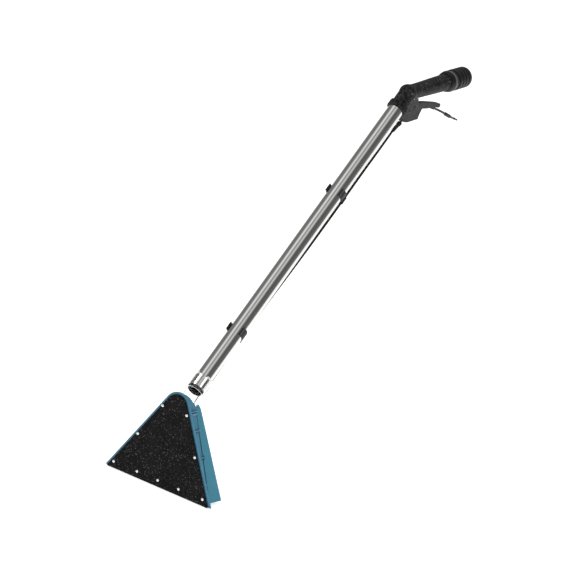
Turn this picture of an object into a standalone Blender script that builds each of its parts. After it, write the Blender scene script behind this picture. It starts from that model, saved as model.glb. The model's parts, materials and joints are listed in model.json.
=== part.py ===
"""Floor wand of a spray-extraction carpet cleaner, in its working pose.

The suction head stands on the floor, the tube leans back from it, and the bent
handle at its top carries a trigger valve and a swivelling cuff for the vacuum
hose. Heights are above the floor and depths are behind the head's front plate,
in millimetres; at() moves them to the frame, whose origin is the middle of the
hand grip: +X to the user's right, +Y back towards the user, +Z up.
"""

import math

import bmesh
import bpy
from mathutils import Matrix, Vector

MM = 0.001

# Clearances
GAP = 0.3
RUNNING_FIT = 0.08

# Suction head
HEAD_HEIGHT = 216.0
TOP_RADIUS = 26.5
SIDE_TILT = math.radians(29.5)
PLATE_THICKNESS = 3.0
PLATE_FOOT = 1.2
GASKET_THICKNESS = 0.8
GASKET_WIDTH = 8.5
FLANGE_OVERHANG = 5.5
FLANGE_THICKNESS = 4.8
FLANGE_FOOT = 2.0
TRAY_INSET = 1.5
TRAY_WALL = 3.0
TRAY_FOOT = 6.2
TRAY_DEPTH_LOW = 15.5
TRAY_DEPTH_HIGH = 41.0
LIP_WIDTH = 3.0
LIP_HEIGHT = 7.5
LIP_HALF_LENGTH = 127.0
RIB_HEIGHTS = (187.0, 150.0, 98.0, 46.0)
RIB_THICKNESS = 1.6
SCREW_PLACES = (
    (32.5, HEAD_HEIGHT - 36.0),
    (77.3, HEAD_HEIGHT - 118.0),
    (121.0, 16.0),
    (56.5, 16.0),
)
SCREW_HEAD_RADIUS = 3.3
SCREW_RADIUS = 1.5
SCREW_LENGTH = 8.0
POST_RADIUS = 4.4

# Spray hood and jets
HOOD_INSET = 1.0
HOOD_WALL = 2.5
HOOD_FOOT = 8.0
HOOD_TOP_CENTRE = HEAD_HEIGHT - 51.0
HOOD_DEPTH_LOW = 64.0
HOOD_DEPTH_HIGH = 57.0
NOTCH_RADIUS = 5.5
NOTCH_HEIGHT = 96.0
MANIFOLD_RADIUS = 5.0
MANIFOLD_HALF_LENGTH = 62.0
MANIFOLD_DEPTH = 42.0
MANIFOLD_HEIGHT = 58.0
RISER_RADIUS = 3.2
JET_OFFSET = 45.0
BARB_HEIGHT = HEAD_HEIGHT - 66.0
RISER_TOP = BARB_HEIGHT + 6.0
BARB_TILT = math.radians(65.0)
BARB_STAND_OFF = 2.9

# Tube and neck, as stations along the tube's axis
TUBE_TILT = math.radians(43.8)
NECK_DEPTH = 40.1
NECK_HEIGHT = HEAD_HEIGHT - 22.9
TUBE_RADIUS = 19.0
TUBE_WALL = 1.2
TUBE_START = 42.5
TUBE_END = 914.0
COLLAR_RADIUS = TUBE_RADIUS + 4.5
COLLAR_END = 1.0
NECK_BORE = TUBE_RADIUS - 2.0
NECK_RADIUS = TUBE_RADIUS + 5.0
NECK_END = 72.7
SEAL_LENGTH = 8.0
LOWER_CLIP = 210.6
UPPER_CLIP = 635.2
CLIP_WIDTH = 20.0
CLIP_THICKNESS = 2.1
CLIP_REACH = math.radians(116.0)

# Handle: the leg follows the tube's axis, the grip leaves it at the bend
NUT_START = TUBE_END - 12.7
NUT_LENGTH = 15.7
NUT_RADIUS = TUBE_RADIUS + 4.9
BEND_STATION = TUBE_END + 41.5
GRIP_RISE = math.radians(7.0)
CORNER_DEPTH = NECK_DEPTH + BEND_STATION * math.sin(TUBE_TILT)
CORNER_HEIGHT = NECK_HEIGHT + BEND_STATION * math.cos(TUBE_TILT)
THREAD_RADIUS = TUBE_RADIUS + 2.0
THREAD_START = 5.3
LEG_RADIUS = TUBE_RADIUS + 0.6
BEND_RADIUS = LEG_RADIUS + 0.3
GRIP_RADIUS = 18.0
GRIP_END_RADIUS = 20.2
AIR_RADIUS = 15.4
SLEEVE_START = 170.0
SLEEVE_END = 184.0
RING_LENGTH = 6.5
SPIGOT_RADIUS = 17.4
SPIGOT_END = 223.0
CUFF_START = SLEEVE_END + RING_LENGTH + 2 * GAP
CUFF_END = 262.0
CUFF_RADIUS = 25.4
CUFF_SOCKET_RADIUS = 19.4
RIB_COUNT = 4
CUFF_PLAIN = 12.0

# Frame: the middle of the hand grip
GRIP_DEPTH = CORNER_DEPTH + 98.56
GRIP_HEIGHT = CORNER_HEIGHT + 12.26

# Trigger valve and its housing, placed from the middle of the bend
HOUSING_HALF_WIDTH = 12.0
HOUSING_WALL = 2.3
PIVOT_DEPTH = CORNER_DEPTH + 28.56
PIVOT_HEIGHT = CORNER_HEIGHT - 30.74
PIN_RADIUS = 2.2
HEEL_ARM = 10.5
LEVER_HALF_WIDTH = 7.0
LEVER_WALL = 2.2
HUB_RADIUS = 6.5
NOSE_RADIUS = 3.0
VALVE_RADIUS = 5.8
VALVE_FOOT = CORNER_HEIGHT - 61.94
VALVE_TOP = CORNER_HEIGHT - 42.74
PLUNGER_RADIUS = 2.1
PLUNGER_TOP = CORNER_HEIGHT - 35.54
HOUSING_SCREW_PLACE = (CORNER_DEPTH + 7.56, CORNER_HEIGHT - 39.24)

# Hoses
HOSE_RADIUS = 2.75
HOSE_BORE = 1.6
HOSE_STAND_OFF = TUBE_RADIUS + 5.6
PIPE_RADIUS = 2.4
BARB_RADIUS = 1.2
FERRULE_RADIUS = 4.6
STUB_START = (CORNER_DEPTH + 3.06, CORNER_HEIGHT - 69.24)
STUB_DROP = math.radians(36.0)

FINE = 36
MEDIUM = 24
COARSE = 12

NEUTRAL_X = Vector((1.0, 0.0, 0.0))


def at(x, depth, height):
    """Returns the frame's point for a place given in millimetres."""
    return Vector((x, depth - GRIP_DEPTH, height - GRIP_HEIGHT)) * MM


def from_bend(places):
    """Returns side-view places that are given from the middle of the bend."""
    return [(CORNER_DEPTH + depth, CORNER_HEIGHT + height) for depth, height in places]


def clear_scene():
    """Removes every object that the scene holds."""
    for obj in list(bpy.data.objects):
        bpy.data.objects.remove(obj, do_unlink=True)


def new_collection(name):
    """Makes a collection in the scene."""
    collection = bpy.data.collections.new(name)
    bpy.context.scene.collection.children.link(collection)
    return collection


def new_material(name, colour, roughness, metallic=0.0, alpha=1.0):
    """Makes a Principled material."""
    material = bpy.data.materials.new(name)
    material.use_nodes = True
    shader = material.node_tree.nodes["Principled BSDF"]
    shader.inputs["Base Color"].default_value = (*colour, 1.0)
    shader.inputs["Roughness"].default_value = roughness
    shader.inputs["Metallic"].default_value = metallic
    shader.inputs["Alpha"].default_value = alpha
    material.diffuse_color = (*colour, alpha)
    return material


clear_scene()
WAND = new_collection("spray_extraction_wand")
TOOLS = new_collection("cutters")
FINISHES = {
    "plate_black": new_material("plate_black", (0.018, 0.018, 0.018), 0.6),
    "screw_steel": new_material("screw_steel", (0.75, 0.74, 0.72), 0.3, 1.0),
    "gasket_rubber": new_material("gasket_rubber", (0.02, 0.02, 0.02), 0.8),
    "head_blue": new_material("head_blue", (0.06, 0.24, 0.36), 0.4),
    "hood_blue": new_material("hood_blue", (0.08, 0.32, 0.42), 0.35),
    "lip_steel": new_material("lip_steel", (0.6, 0.6, 0.6), 0.35, 1.0),
    "brass": new_material("brass", (0.7, 0.52, 0.25), 0.3, 1.0),
    "clear_plastic": new_material("clear_plastic", (0.95, 0.96, 0.97), 0.08, 0.0, 0.3),
    "polished_steel": new_material("polished_steel", (0.72, 0.71, 0.69), 0.08, 1.0),
    "clip_black": new_material("clip_black", (0.02, 0.02, 0.02), 0.5),
    "hose_black": new_material("hose_black", (0.015, 0.015, 0.015), 0.6),
    "handle_black": new_material("handle_black", (0.025, 0.025, 0.025), 0.55),
    "cuff_black": new_material("cuff_black", (0.02, 0.02, 0.022), 0.45),
    "ring_grey": new_material("ring_grey", (0.16, 0.16, 0.16), 0.5),
    "spring_steel": new_material("spring_steel", (0.55, 0.55, 0.56), 0.3, 1.0),
}


def add_part(name, mesh, finish, pivot=None):
    """Puts a mesh in the wand's collection, with its origin on the pivot if it has one."""
    obj = finish_object(name, mesh, WAND, pivot)
    obj.data.materials.append(FINISHES[finish])
    return obj


def add_tool(name, mesh):
    """Puts a mesh among the pieces that only cut or join others."""
    obj = finish_object(name, mesh, TOOLS, None)
    obj.hide_render = True
    obj.display_type = "WIRE"
    return obj


def finish_object(name, mesh, collection, pivot):
    """Closes a bmesh into an object with outward faces and smooth round sides."""
    bmesh.ops.recalc_face_normals(mesh, faces=mesh.faces)
    if pivot is not None:
        bmesh.ops.translate(mesh, verts=mesh.verts, vec=-pivot)
    data = bpy.data.meshes.new(name)
    mesh.to_mesh(data)
    mesh.free()
    data.shade_smooth()
    data.set_sharp_from_angle(angle=math.radians(35.0))
    obj = bpy.data.objects.new(name, data)
    if pivot is not None:
        obj.location = pivot
    collection.objects.link(obj)
    return obj


def combine(target, tool, operation):
    """Adds a Boolean of the tool to the target."""
    modifier = target.modifiers.new(f"{operation.lower()} {tool.name}", "BOOLEAN")
    modifier.operation = operation
    modifier.solver = "EXACT"
    modifier.object = tool


def cut(target, *tools):
    """Takes the tools away from the target."""
    for tool in tools:
        combine(target, tool, "DIFFERENCE")


def join(target, *tools):
    """Makes the tools one body with the target."""
    for tool in tools:
        combine(target, tool, "UNION")


# Rings along the axes: (centre, direction, radius, stretch)


def tube_ring(station, radius):
    """A ring square to the tube's axis."""
    direction = Vector((0.0, math.sin(TUBE_TILT), math.cos(TUBE_TILT)))
    return (tube_place(station), direction, radius, 1.0)


def tube_place(station, off=0.0, turn=0.0):
    """A place by the tube: off its axis by some distance, turned from its underside to +X."""
    under = off * math.cos(turn)
    depth = NECK_DEPTH + station * math.sin(TUBE_TILT) + under * math.cos(TUBE_TILT)
    height = NECK_HEIGHT + station * math.cos(TUBE_TILT) - under * math.sin(TUBE_TILT)
    return at(off * math.sin(turn), depth, height)


def grip_ring(station, radius):
    """A ring square to the grip's axis, which starts at the bend."""
    direction = Vector((0.0, math.cos(GRIP_RISE), math.sin(GRIP_RISE)))
    return (tube_place(BEND_STATION) + direction * station * MM, direction, radius, 1.0)


def mitre_ring(radius):
    """The ring in the plane that halves the handle's bend."""
    half_bend = (math.pi / 2 - TUBE_TILT - GRIP_RISE) / 2
    rise = GRIP_RISE + half_bend
    direction = Vector((0.0, math.cos(rise), math.sin(rise)))
    return (tube_place(BEND_STATION), direction, radius, 1.0 / math.cos(half_bend))


def line_ring(start, direction, station, radius):
    """A ring on a straight line."""
    return (start + direction * station * MM, direction, radius, 1.0)


def upright_ring(depth, height, radius):
    """A ring square to a vertical axis in the plane of symmetry."""
    return (at(0.0, depth, height), Vector((0.0, 0.0, 1.0)), radius, 1.0)


def cross_ring(x, depth, height, radius):
    """A ring square to an axis along X."""
    return (at(x, depth, height), NEUTRAL_X, radius, 1.0)


def ring_verts(mesh, ring, sides):
    """Draws one ring and returns its vertices in order."""
    centre, direction, radius, stretch = ring
    side = NEUTRAL_X - direction * NEUTRAL_X.dot(direction)
    if side.length < 0.1:
        side = Vector((0.0, 1.0, 0.0))
    side.normalize()
    turned = Matrix((side, direction.cross(side), direction)).transposed().to_4x4()
    sized = Matrix.Diagonal((radius * MM, radius * stretch * MM, 1.0, 1.0))
    place = Matrix.Translation(centre) @ turned @ sized
    return bmesh.ops.create_circle(mesh, segments=sides, radius=1.0, matrix=place)["verts"]


def ring_mesh(rings, sides, hollow=False):
    """Skins rings in order. A hollow body joins its last ring to its first."""
    mesh = bmesh.new()
    loops = [ring_verts(mesh, ring, sides) for ring in rings]
    pairs = list(zip(loops, loops[1:]))
    if hollow:
        pairs.append((loops[-1], loops[0]))
    for first, second in pairs:
        for index in range(sides):
            ahead = (index + 1) % sides
            mesh.faces.new((first[index], first[ahead], second[ahead], second[index]))
    if not hollow:
        mesh.faces.new(loops[0])
        mesh.faces.new(loops[-1])
    return mesh


def prism_mesh(corners, travel):
    """Extrudes a flat outline along a vector."""
    mesh = bmesh.new()
    face = mesh.faces.new([mesh.verts.new(corner) for corner in corners])
    grown = bmesh.ops.extrude_face_region(mesh, geom=[face])["geom"]
    moved = [item for item in grown if isinstance(item, bmesh.types.BMVert)]
    bmesh.ops.translate(mesh, verts=moved, vec=travel)
    return mesh


def side_prism(outline, low_x, high_x):
    """Extrudes an outline of (depth, height) from one X to another."""
    corners = [at(low_x, depth, height) for depth, height in outline]
    return prism_mesh(corners, NEUTRAL_X * (high_x - low_x) * MM)


def front_slab(outline, front, back):
    """Extrudes an outline of (x, height) between two depths that depend on height."""
    corners = [at(x, front(height), height) for x, height in outline]
    mesh = bmesh.new()
    face = mesh.faces.new([mesh.verts.new(corner) for corner in corners])
    grown = bmesh.ops.extrude_face_region(mesh, geom=[face])["geom"]
    for item in grown:
        if isinstance(item, bmesh.types.BMVert):
            item.co = at(item.co.x / MM, back(height_of(item)), height_of(item))
    return mesh


def height_of(vert):
    """Height of a vertex above the floor in millimetres."""
    return vert.co.z / MM + GRIP_HEIGHT


def box_mesh(low, high):
    """A box between two corners."""
    mesh = bmesh.new()
    low_corner = at(*low)
    high_corner = at(*high)
    size = high_corner - low_corner
    place = Matrix.Translation((low_corner + high_corner) / 2) @ Matrix.Diagonal((*size, 1.0))
    bmesh.ops.create_cube(mesh, size=1.0, matrix=place)
    return mesh


def arc(centre, radius, start, end, steps):
    """Points of an arc, angles in radians."""
    angles = [start + (end - start) * step / steps for step in range(steps + 1)]
    return [(centre[0] + radius * math.cos(a), centre[1] + radius * math.sin(a)) for a in angles]


def inset(outline, distance):
    """Moves every side of an anticlockwise outline inwards."""
    moved = []
    for index, corner in enumerate(outline):
        here = Vector(corner)
        before = (here - Vector(outline[index - 1])).normalized()
        after = (Vector(outline[(index + 1) % len(outline)]) - here).normalized()
        normals = Vector((-before.y, before.x)), Vector((-after.y, after.x))
        middle = (normals[0] + normals[1]).normalized()
        moved.append(tuple(here + middle * distance / max(middle.dot(normals[0]), 0.3)))
    return moved


def smooth_route(points, steps):
    """Reads a Catmull-Rom curve through the points."""
    ends = [points[0] * 2 - points[1], *points, points[-1] * 2 - points[-2]]
    route = []
    for index in range(1, len(ends) - 2):
        a, b, c, d = ends[index - 1 : index + 3]
        for step in range(steps):
            t = step / steps
            bend = (a * 2 - b * 5 + c * 4 - d) * t * t + (b * 3 - a - c * 3 + d) * t**3
            route.append(((b * 2) + (c - a) * t + bend) / 2)
    route.append(points[-1])
    return route


def route_rings(route, radius):
    """Rings along a route, each square to its course there."""
    rings = []
    for index, place in enumerate(route):
        ahead = route[min(index + 1, len(route) - 1)] - route[max(index - 1, 0)]
        rings.append((place, ahead.normalized(), radius, 1.0))
    return rings


# Suction head


def half_width_at_floor(grow):
    """Half the width that the outline's sloping sides reach at floor height."""
    centre = HEAD_HEIGHT - TOP_RADIUS
    return (TOP_RADIUS + grow) / math.cos(SIDE_TILT) + math.tan(SIDE_TILT) * centre


def head_outline(grow, foot, top_centre=HEAD_HEIGHT - TOP_RADIUS):
    """The head's outline grown sideways: sloping sides, a flat foot and a round top."""
    floor_half = half_width_at_floor(grow)
    reach = (floor_half - math.tan(SIDE_TILT) * top_centre) * math.cos(SIDE_TILT)
    foot_half = floor_half - math.tan(SIDE_TILT) * foot
    top = arc((0.0, top_centre), reach, SIDE_TILT, math.pi - SIDE_TILT, 14)
    return [(foot_half, foot), *top, (-foot_half, foot)]


def level(depth):
    """A depth that is the same at every height."""
    return lambda height: depth


def tray_back(height):
    """Depth of the suction tray's back, which leans away upwards."""
    share = (height - TRAY_FOOT) / (HEAD_HEIGHT - TRAY_FOOT)
    return TRAY_DEPTH_LOW + (TRAY_DEPTH_HIGH - TRAY_DEPTH_LOW) * share


def hood_back(height):
    """Depth of the spray hood's back, which leans away downwards."""
    share = (height - HOOD_FOOT) / (HEAD_HEIGHT - HOOD_FOOT)
    return HOOD_DEPTH_LOW + (HOOD_DEPTH_HIGH - HOOD_DEPTH_LOW) * share


def barb_seat():
    """Station on the barb's line where its flange clears the hood's back."""
    lean = (HOOD_DEPTH_LOW - HOOD_DEPTH_HIGH) / (HEAD_HEIGHT - HOOD_FOOT)
    closing = math.sin(BARB_TILT) + lean * math.cos(BARB_TILT)
    return (hood_back(BARB_HEIGHT) - MANIFOLD_DEPTH) / closing + BARB_STAND_OFF


BARB_SEAT = barb_seat()
GASKET_FRONT = PLATE_THICKNESS + GAP / 2
FLANGE_FRONT = GASKET_FRONT + GASKET_THICKNESS + GAP / 2
FLANGE_BACK = FLANGE_FRONT + FLANGE_THICKNESS


def screw_places():
    """Where the front plate is screwed on: pairs, and one in the middle of the foot."""
    pairs = [(side * x, height) for x, height in SCREW_PLACES for side in (-1, 1)]
    return [*pairs, (0.0, SCREW_PLACES[-1][1])]


def depth_cylinder(x, height, radius, front, back, sides=MEDIUM):
    """A cylinder along the depth axis."""
    mesh = bmesh.new()
    add_depth_cylinder(mesh, x, height, radius, front, back, sides)
    return mesh


def add_depth_cylinder(mesh, x, height, radius, front, back, sides):
    """Adds a closed cylinder along the depth axis to a mesh."""
    middle = at(x, (front + back) / 2, height)
    place = Matrix.Translation(middle) @ Matrix.Rotation(math.pi / 2, 4, "X")
    bmesh.ops.create_cone(
        mesh,
        cap_ends=True,
        segments=sides,
        radius1=radius * MM,
        radius2=radius * MM,
        depth=(back - front) * MM,
        matrix=place,
    )


def make_head():
    """Front plate, gasket, tray, lips and plate screws."""
    holes = bmesh.new()
    for x, height in screw_places():
        hole_end = FLANGE_FRONT + SCREW_LENGTH
        add_depth_cylinder(holes, x, height, SCREW_RADIUS + GAP, -2.0, hole_end, COARSE)
    hole_tool = add_tool("screw_holes", holes)

    plate_outline = head_outline(0.0, PLATE_FOOT)
    plate = front_slab(plate_outline, level(0.0), level(PLATE_THICKNESS))
    plate_part = add_part("front_plate", plate, "plate_black")
    cut(plate_part, hole_tool)

    gasket_back = level(GASKET_FRONT + GASKET_THICKNESS)
    gasket = front_slab(head_outline(-0.5, LIP_HEIGHT + 2.0), level(GASKET_FRONT), gasket_back)
    gasket_part = add_part("plate_gasket", gasket, "gasket_rubber")
    window_outline = head_outline(-GASKET_WIDTH, LIP_HEIGHT + 14.0)
    window = front_slab(window_outline, level(-2.0), level(FLANGE_BACK))
    cut(gasket_part, add_tool("gasket_window", window), hole_tool)

    flange_outline = head_outline(FLANGE_OVERHANG, FLANGE_FOOT)
    flange = front_slab(flange_outline, level(FLANGE_FRONT), level(FLANGE_BACK))
    body = add_part("head_body", flange, "head_blue")
    tray = front_slab(head_outline(-TRAY_INSET, TRAY_FOOT), level(FLANGE_FRONT + 1.0), tray_back)
    join(body, add_tool("tray_block", tray))
    for height in RIB_HEIGHTS:
        half = half_width_at_floor(FLANGE_OVERHANG - 1.5) - math.tan(SIDE_TILT) * height
        low = (-half, FLANGE_BACK - 1.0, height - RIB_THICKNESS / 2)
        high = (half, tray_back(height) - 1.0, height + RIB_THICKNESS / 2)
        join(body, add_tool(f"side_rib_{height:.0f}", box_mesh(low, high)))
    chamber_outline = head_outline(-TRAY_INSET - TRAY_WALL, -20.0)
    chamber = front_slab(
        chamber_outline,
        level(-5.0),
        lambda height: tray_back(height) - TRAY_WALL,
    )
    cut(body, add_tool("suction_chamber", chamber))
    collar = ring_mesh([tube_ring(-16.0, COLLAR_RADIUS), tube_ring(COLLAR_END, COLLAR_RADIUS)], FINE)
    join(body, add_tool("neck_collar", collar))
    for x, height in screw_places():
        back = tray_back(height) - TRAY_WALL / 2
        post = depth_cylinder(x, height, POST_RADIUS, FLANGE_FRONT + 0.2, back)
        join(body, add_tool(f"post_{x:.0f}_{height:.0f}", post))
    bore = ring_mesh([tube_ring(-28.0, NECK_BORE), tube_ring(COLLAR_END + 4.0, NECK_BORE)], FINE)
    seat = ring_mesh([tube_ring(station, NECK_RADIUS + GAP) for station in (COLLAR_END, 60.0)], FINE)
    cut(body, hole_tool, add_tool("neck_bore", bore), add_tool("neck_seat", seat))

    for index, (x, height) in enumerate(screw_places(), start=1):
        make_plate_screw(f"plate_screw_{index}", x, height)

    lip_front = (-LIP_HALF_LENGTH, PLATE_THICKNESS + GAP, 0.0)
    lip_back = (LIP_HALF_LENGTH, PLATE_THICKNESS + GAP + LIP_WIDTH, LIP_HEIGHT)
    add_part("front_lip", box_mesh(lip_front, lip_back), "lip_steel")
    rear_depth = tray_back(TRAY_FOOT)
    low = (-LIP_HALF_LENGTH, rear_depth - LIP_WIDTH, 0.0)
    high = (LIP_HALF_LENGTH, rear_depth, TRAY_FOOT - GAP)
    add_part("rear_lip", box_mesh(low, high), "lip_steel")


def make_plate_screw(name, x, height):
    """A pan-head screw with a crossed recess, its head on the front plate."""
    inward = Vector((0.0, 1.0, 0.0))
    start = at(x, 0.0, height)
    profile = (
        (-1.9, 1.4),
        (-1.75, 2.4),
        (-1.2, SCREW_HEAD_RADIUS - 0.2),
        (-GAP - 0.5, SCREW_HEAD_RADIUS),
        (-GAP / 2, SCREW_HEAD_RADIUS),
        (-GAP / 2, SCREW_RADIUS),
        (FLANGE_FRONT + SCREW_LENGTH - 1.5, SCREW_RADIUS),
        (FLANGE_FRONT + SCREW_LENGTH - GAP, SCREW_RADIUS * 0.4),
    )
    rings = [line_ring(start, inward, station, radius) for station, radius in profile]
    screw = add_part(name, ring_mesh(rings, COARSE), "screw_steel")
    recess = front_slab(cross_outline(x, height, 1.7, 0.4), level(-3.0), level(-1.1))
    cut(screw, add_tool(f"{name}_recess", recess))


def cross_outline(x, height, reach, half):
    """An upright cross of two bars."""
    quarter = [(reach, -half), (reach, half), (half, half)]
    outline = []
    for turn in range(4):
        angle = turn * math.pi / 2
        cos_turn = math.cos(angle)
        sin_turn = math.sin(angle)
        for across, up in quarter:
            outline.append(
                (x + across * cos_turn - up * sin_turn, height + across * sin_turn + up * cos_turn)
            )
    return outline


def make_hood():
    """Spray hood behind the tray, with the jets and their feed inside it."""
    hood = front_slab(
        head_outline(-HOOD_INSET, HOOD_FOOT, HOOD_TOP_CENTRE),
        lambda height: tray_back(height) + GAP,
        hood_back,
    )
    part = add_part("spray_hood", hood, "hood_blue")
    space = front_slab(
        head_outline(-HOOD_INSET - HOOD_WALL, -20.0, HOOD_TOP_CENTRE),
        lambda height: tray_back(height) - 6.0,
        lambda height: hood_back(height) - HOOD_WALL,
    )
    collar_rings = [tube_ring(station, NECK_RADIUS + GAP) for station in (-30.0, 60.0)]
    notch_depth = tray_back(NOTCH_HEIGHT) + 1.0
    notch_rings = [
        cross_ring(side * 150.0, notch_depth, NOTCH_HEIGHT, NOTCH_RADIUS) for side in (-1, 1)
    ]
    barb_line = barb_axis()
    hole_rings = [line_ring(*barb_line, 4.0, 3.4), line_ring(*barb_line, 30.0, 3.4)]
    cut(
        part,
        add_tool("hood_space", space),
        add_tool("collar_space", ring_mesh(collar_rings, FINE)),
        add_tool("side_notch", ring_mesh(notch_rings, MEDIUM)),
        add_tool("barb_hole", ring_mesh(hole_rings, MEDIUM)),
    )

    bar_rings = [
        cross_ring(side * MANIFOLD_HALF_LENGTH, MANIFOLD_DEPTH, MANIFOLD_HEIGHT, MANIFOLD_RADIUS)
        for side in (-1, 1)
    ]
    manifold = add_part("jet_manifold", ring_mesh(bar_rings, MEDIUM), "brass")
    riser_rings = [
        upright_ring(MANIFOLD_DEPTH, MANIFOLD_HEIGHT, RISER_RADIUS),
        upright_ring(MANIFOLD_DEPTH, RISER_TOP, RISER_RADIUS),
    ]
    join(manifold, add_tool("riser", ring_mesh(riser_rings, MEDIUM)))
    for name, x in (("spray_jet_left", -JET_OFFSET), ("spray_jet_right", JET_OFFSET)):
        make_jet(name, x)

    barb_profile = (
        (RISER_RADIUS + 1.5, BARB_RADIUS),
        (RISER_RADIUS + 2.4, 3.1),
        (BARB_SEAT, 3.1),
        (BARB_SEAT, 5.0),
        (BARB_SEAT + 2.4, 5.0),
        (BARB_SEAT + 2.8, 3.4),
        (BARB_SEAT + 3.0, BARB_RADIUS),
        (BARB_SEAT + 10.0, BARB_RADIUS),
        (BARB_SEAT + 11.0, BARB_RADIUS * 0.7),
    )
    rings = [line_ring(*barb_line, station, radius) for station, radius in barb_profile]
    add_part("hose_barb", ring_mesh(rings, MEDIUM), "brass")


def barb_axis():
    """Start and direction of the hose barb, up and back out of the hood."""
    direction = Vector((0.0, math.sin(BARB_TILT), math.cos(BARB_TILT)))
    return at(0.0, MANIFOLD_DEPTH, BARB_HEIGHT), direction


def make_jet(name, x):
    """A flat-fan nozzle under the manifold, aimed down and a little forward."""
    down = Vector((0.0, -0.3, -0.954)).normalized()
    start = at(x, MANIFOLD_DEPTH, MANIFOLD_HEIGHT)
    profile = (
        (MANIFOLD_RADIUS + 0.5, 4.2),
        (10.0, 4.2),
        (10.4, 3.4),
        (15.0, 3.2),
        (17.0, 2.0),
    )
    rings = [line_ring(start, down, station, radius) for station, radius in profile]
    jet = add_part(name, ring_mesh(rings, COARSE), "brass")
    slot = bmesh.new()
    tip = start + down * 17.0 * MM
    size = Matrix.Diagonal((5.0 * MM, 0.7 * MM, 1.6 * MM, 1.0))
    bmesh.ops.create_cube(slot, size=1.0, matrix=Matrix.Translation(tip) @ size)
    cut(jet, add_tool(f"{name}_slot", slot))


# Neck, tube, clips


def make_neck_and_tube():
    """The clear neck, the seal in its socket, and the tube."""
    seal_start = TUBE_START - GAP - SEAL_LENGTH
    shoulder = seal_start - GAP
    socket = TUBE_RADIUS + GAP
    outer = (
        (COLLAR_END + GAP, COLLAR_RADIUS),
        (COLLAR_END + 3.0, COLLAR_RADIUS),
        (COLLAR_END + 5.0, NECK_RADIUS - 1.6),
        (shoulder + 4.0, NECK_RADIUS - 0.4),
        (NECK_END - 5.0, NECK_RADIUS - 0.2),
        (NECK_END - 4.4, NECK_RADIUS + 0.6),
        (NECK_END - 0.6, NECK_RADIUS + 0.6),
        (NECK_END, NECK_RADIUS),
    )
    inner = (
        (NECK_END, socket),
        (shoulder, socket),
        (shoulder, NECK_BORE),
        (COLLAR_END + GAP, NECK_BORE),
    )
    rings = [tube_ring(*station) for station in outer + inner]
    add_part("clear_neck", ring_mesh(rings, FINE, hollow=True), "clear_plastic")

    seal_profile = (
        (seal_start, NECK_BORE - 0.5),
        (seal_start, TUBE_RADIUS),
        (TUBE_START - GAP, TUBE_RADIUS),
        (TUBE_START - GAP, NECK_BORE - 0.5),
    )
    seal_rings = [tube_ring(*station) for station in seal_profile]
    add_part("tube_seal", ring_mesh(seal_rings, FINE, hollow=True), "gasket_rubber")

    tube_profile = (
        (TUBE_START, TUBE_RADIUS),
        (TUBE_END, TUBE_RADIUS),
        (TUBE_END, TUBE_RADIUS - TUBE_WALL),
        (TUBE_START, TUBE_RADIUS - TUBE_WALL),
    )
    tube_rings = [tube_ring(*station) for station in tube_profile]
    add_part("wand_tube", ring_mesh(tube_rings, FINE, hollow=True), "polished_steel")


def section_corners(outline, station):
    """Corners of an outline of (x, towards the underside) square to the tube."""
    corners = []
    for x, under in outline:
        corners.append(tube_place(station, math.hypot(x, under), math.atan2(x, under)))
    return corners


def make_clip(name, station, hose_turn):
    """A spring clip on the tube's underside with a smaller one for the hose."""
    inner = TUBE_RADIUS + GAP
    outer = inner + CLIP_THICKNESS
    start = math.pi / 2 - CLIP_REACH
    end = math.pi / 2 + CLIP_REACH
    spread = math.radians(8.0)
    tab_tips = [(outer + 3.6, end + spread + 0.05), (outer + 2.4, end + spread + 0.12)]
    other_tips = [(outer + 2.4, start - spread - 0.12), (outer + 3.6, start - spread - 0.05)]
    band = arc((0.0, 0.0), outer, start, end, 28)
    band += [(radius * math.cos(a), radius * math.sin(a)) for radius, a in tab_tips]
    band += arc((0.0, 0.0), inner, end + spread, start - spread, 30)
    band += [(radius * math.cos(a), radius * math.sin(a)) for radius, a in other_tips]
    travel = tube_place(station + CLIP_WIDTH) - tube_place(station)
    mesh = prism_mesh(section_corners(band, station - CLIP_WIDTH / 2), travel)
    clip = add_part(name, mesh, "clip_black")

    turn = math.pi / 2 - hose_turn
    centre = (HOSE_STAND_OFF * math.cos(turn), HOSE_STAND_OFF * math.sin(turn))
    opening = math.radians(42.0)
    hold = HOSE_RADIUS + GAP
    holder = arc(centre, hold + 1.8, turn + opening, turn + 2 * math.pi - opening, 16)
    holder += arc(centre, hold, turn + 2 * math.pi - opening, turn + opening, 16)
    holder_mesh = prism_mesh(section_corners(holder, station - CLIP_WIDTH / 2), travel)
    join(clip, add_tool(f"{name}_holder", holder_mesh))


UPPER_TURN = math.radians(32.0)
LOWER_TURN = math.radians(11.0)


def stub_ring(station, radius):
    """A ring on the outlet's line, which runs down and forward out of the housing."""
    direction = Vector((0.0, -math.cos(STUB_DROP), -math.sin(STUB_DROP)))
    return line_ring(at(0.0, *STUB_START), direction, station, radius)


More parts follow.
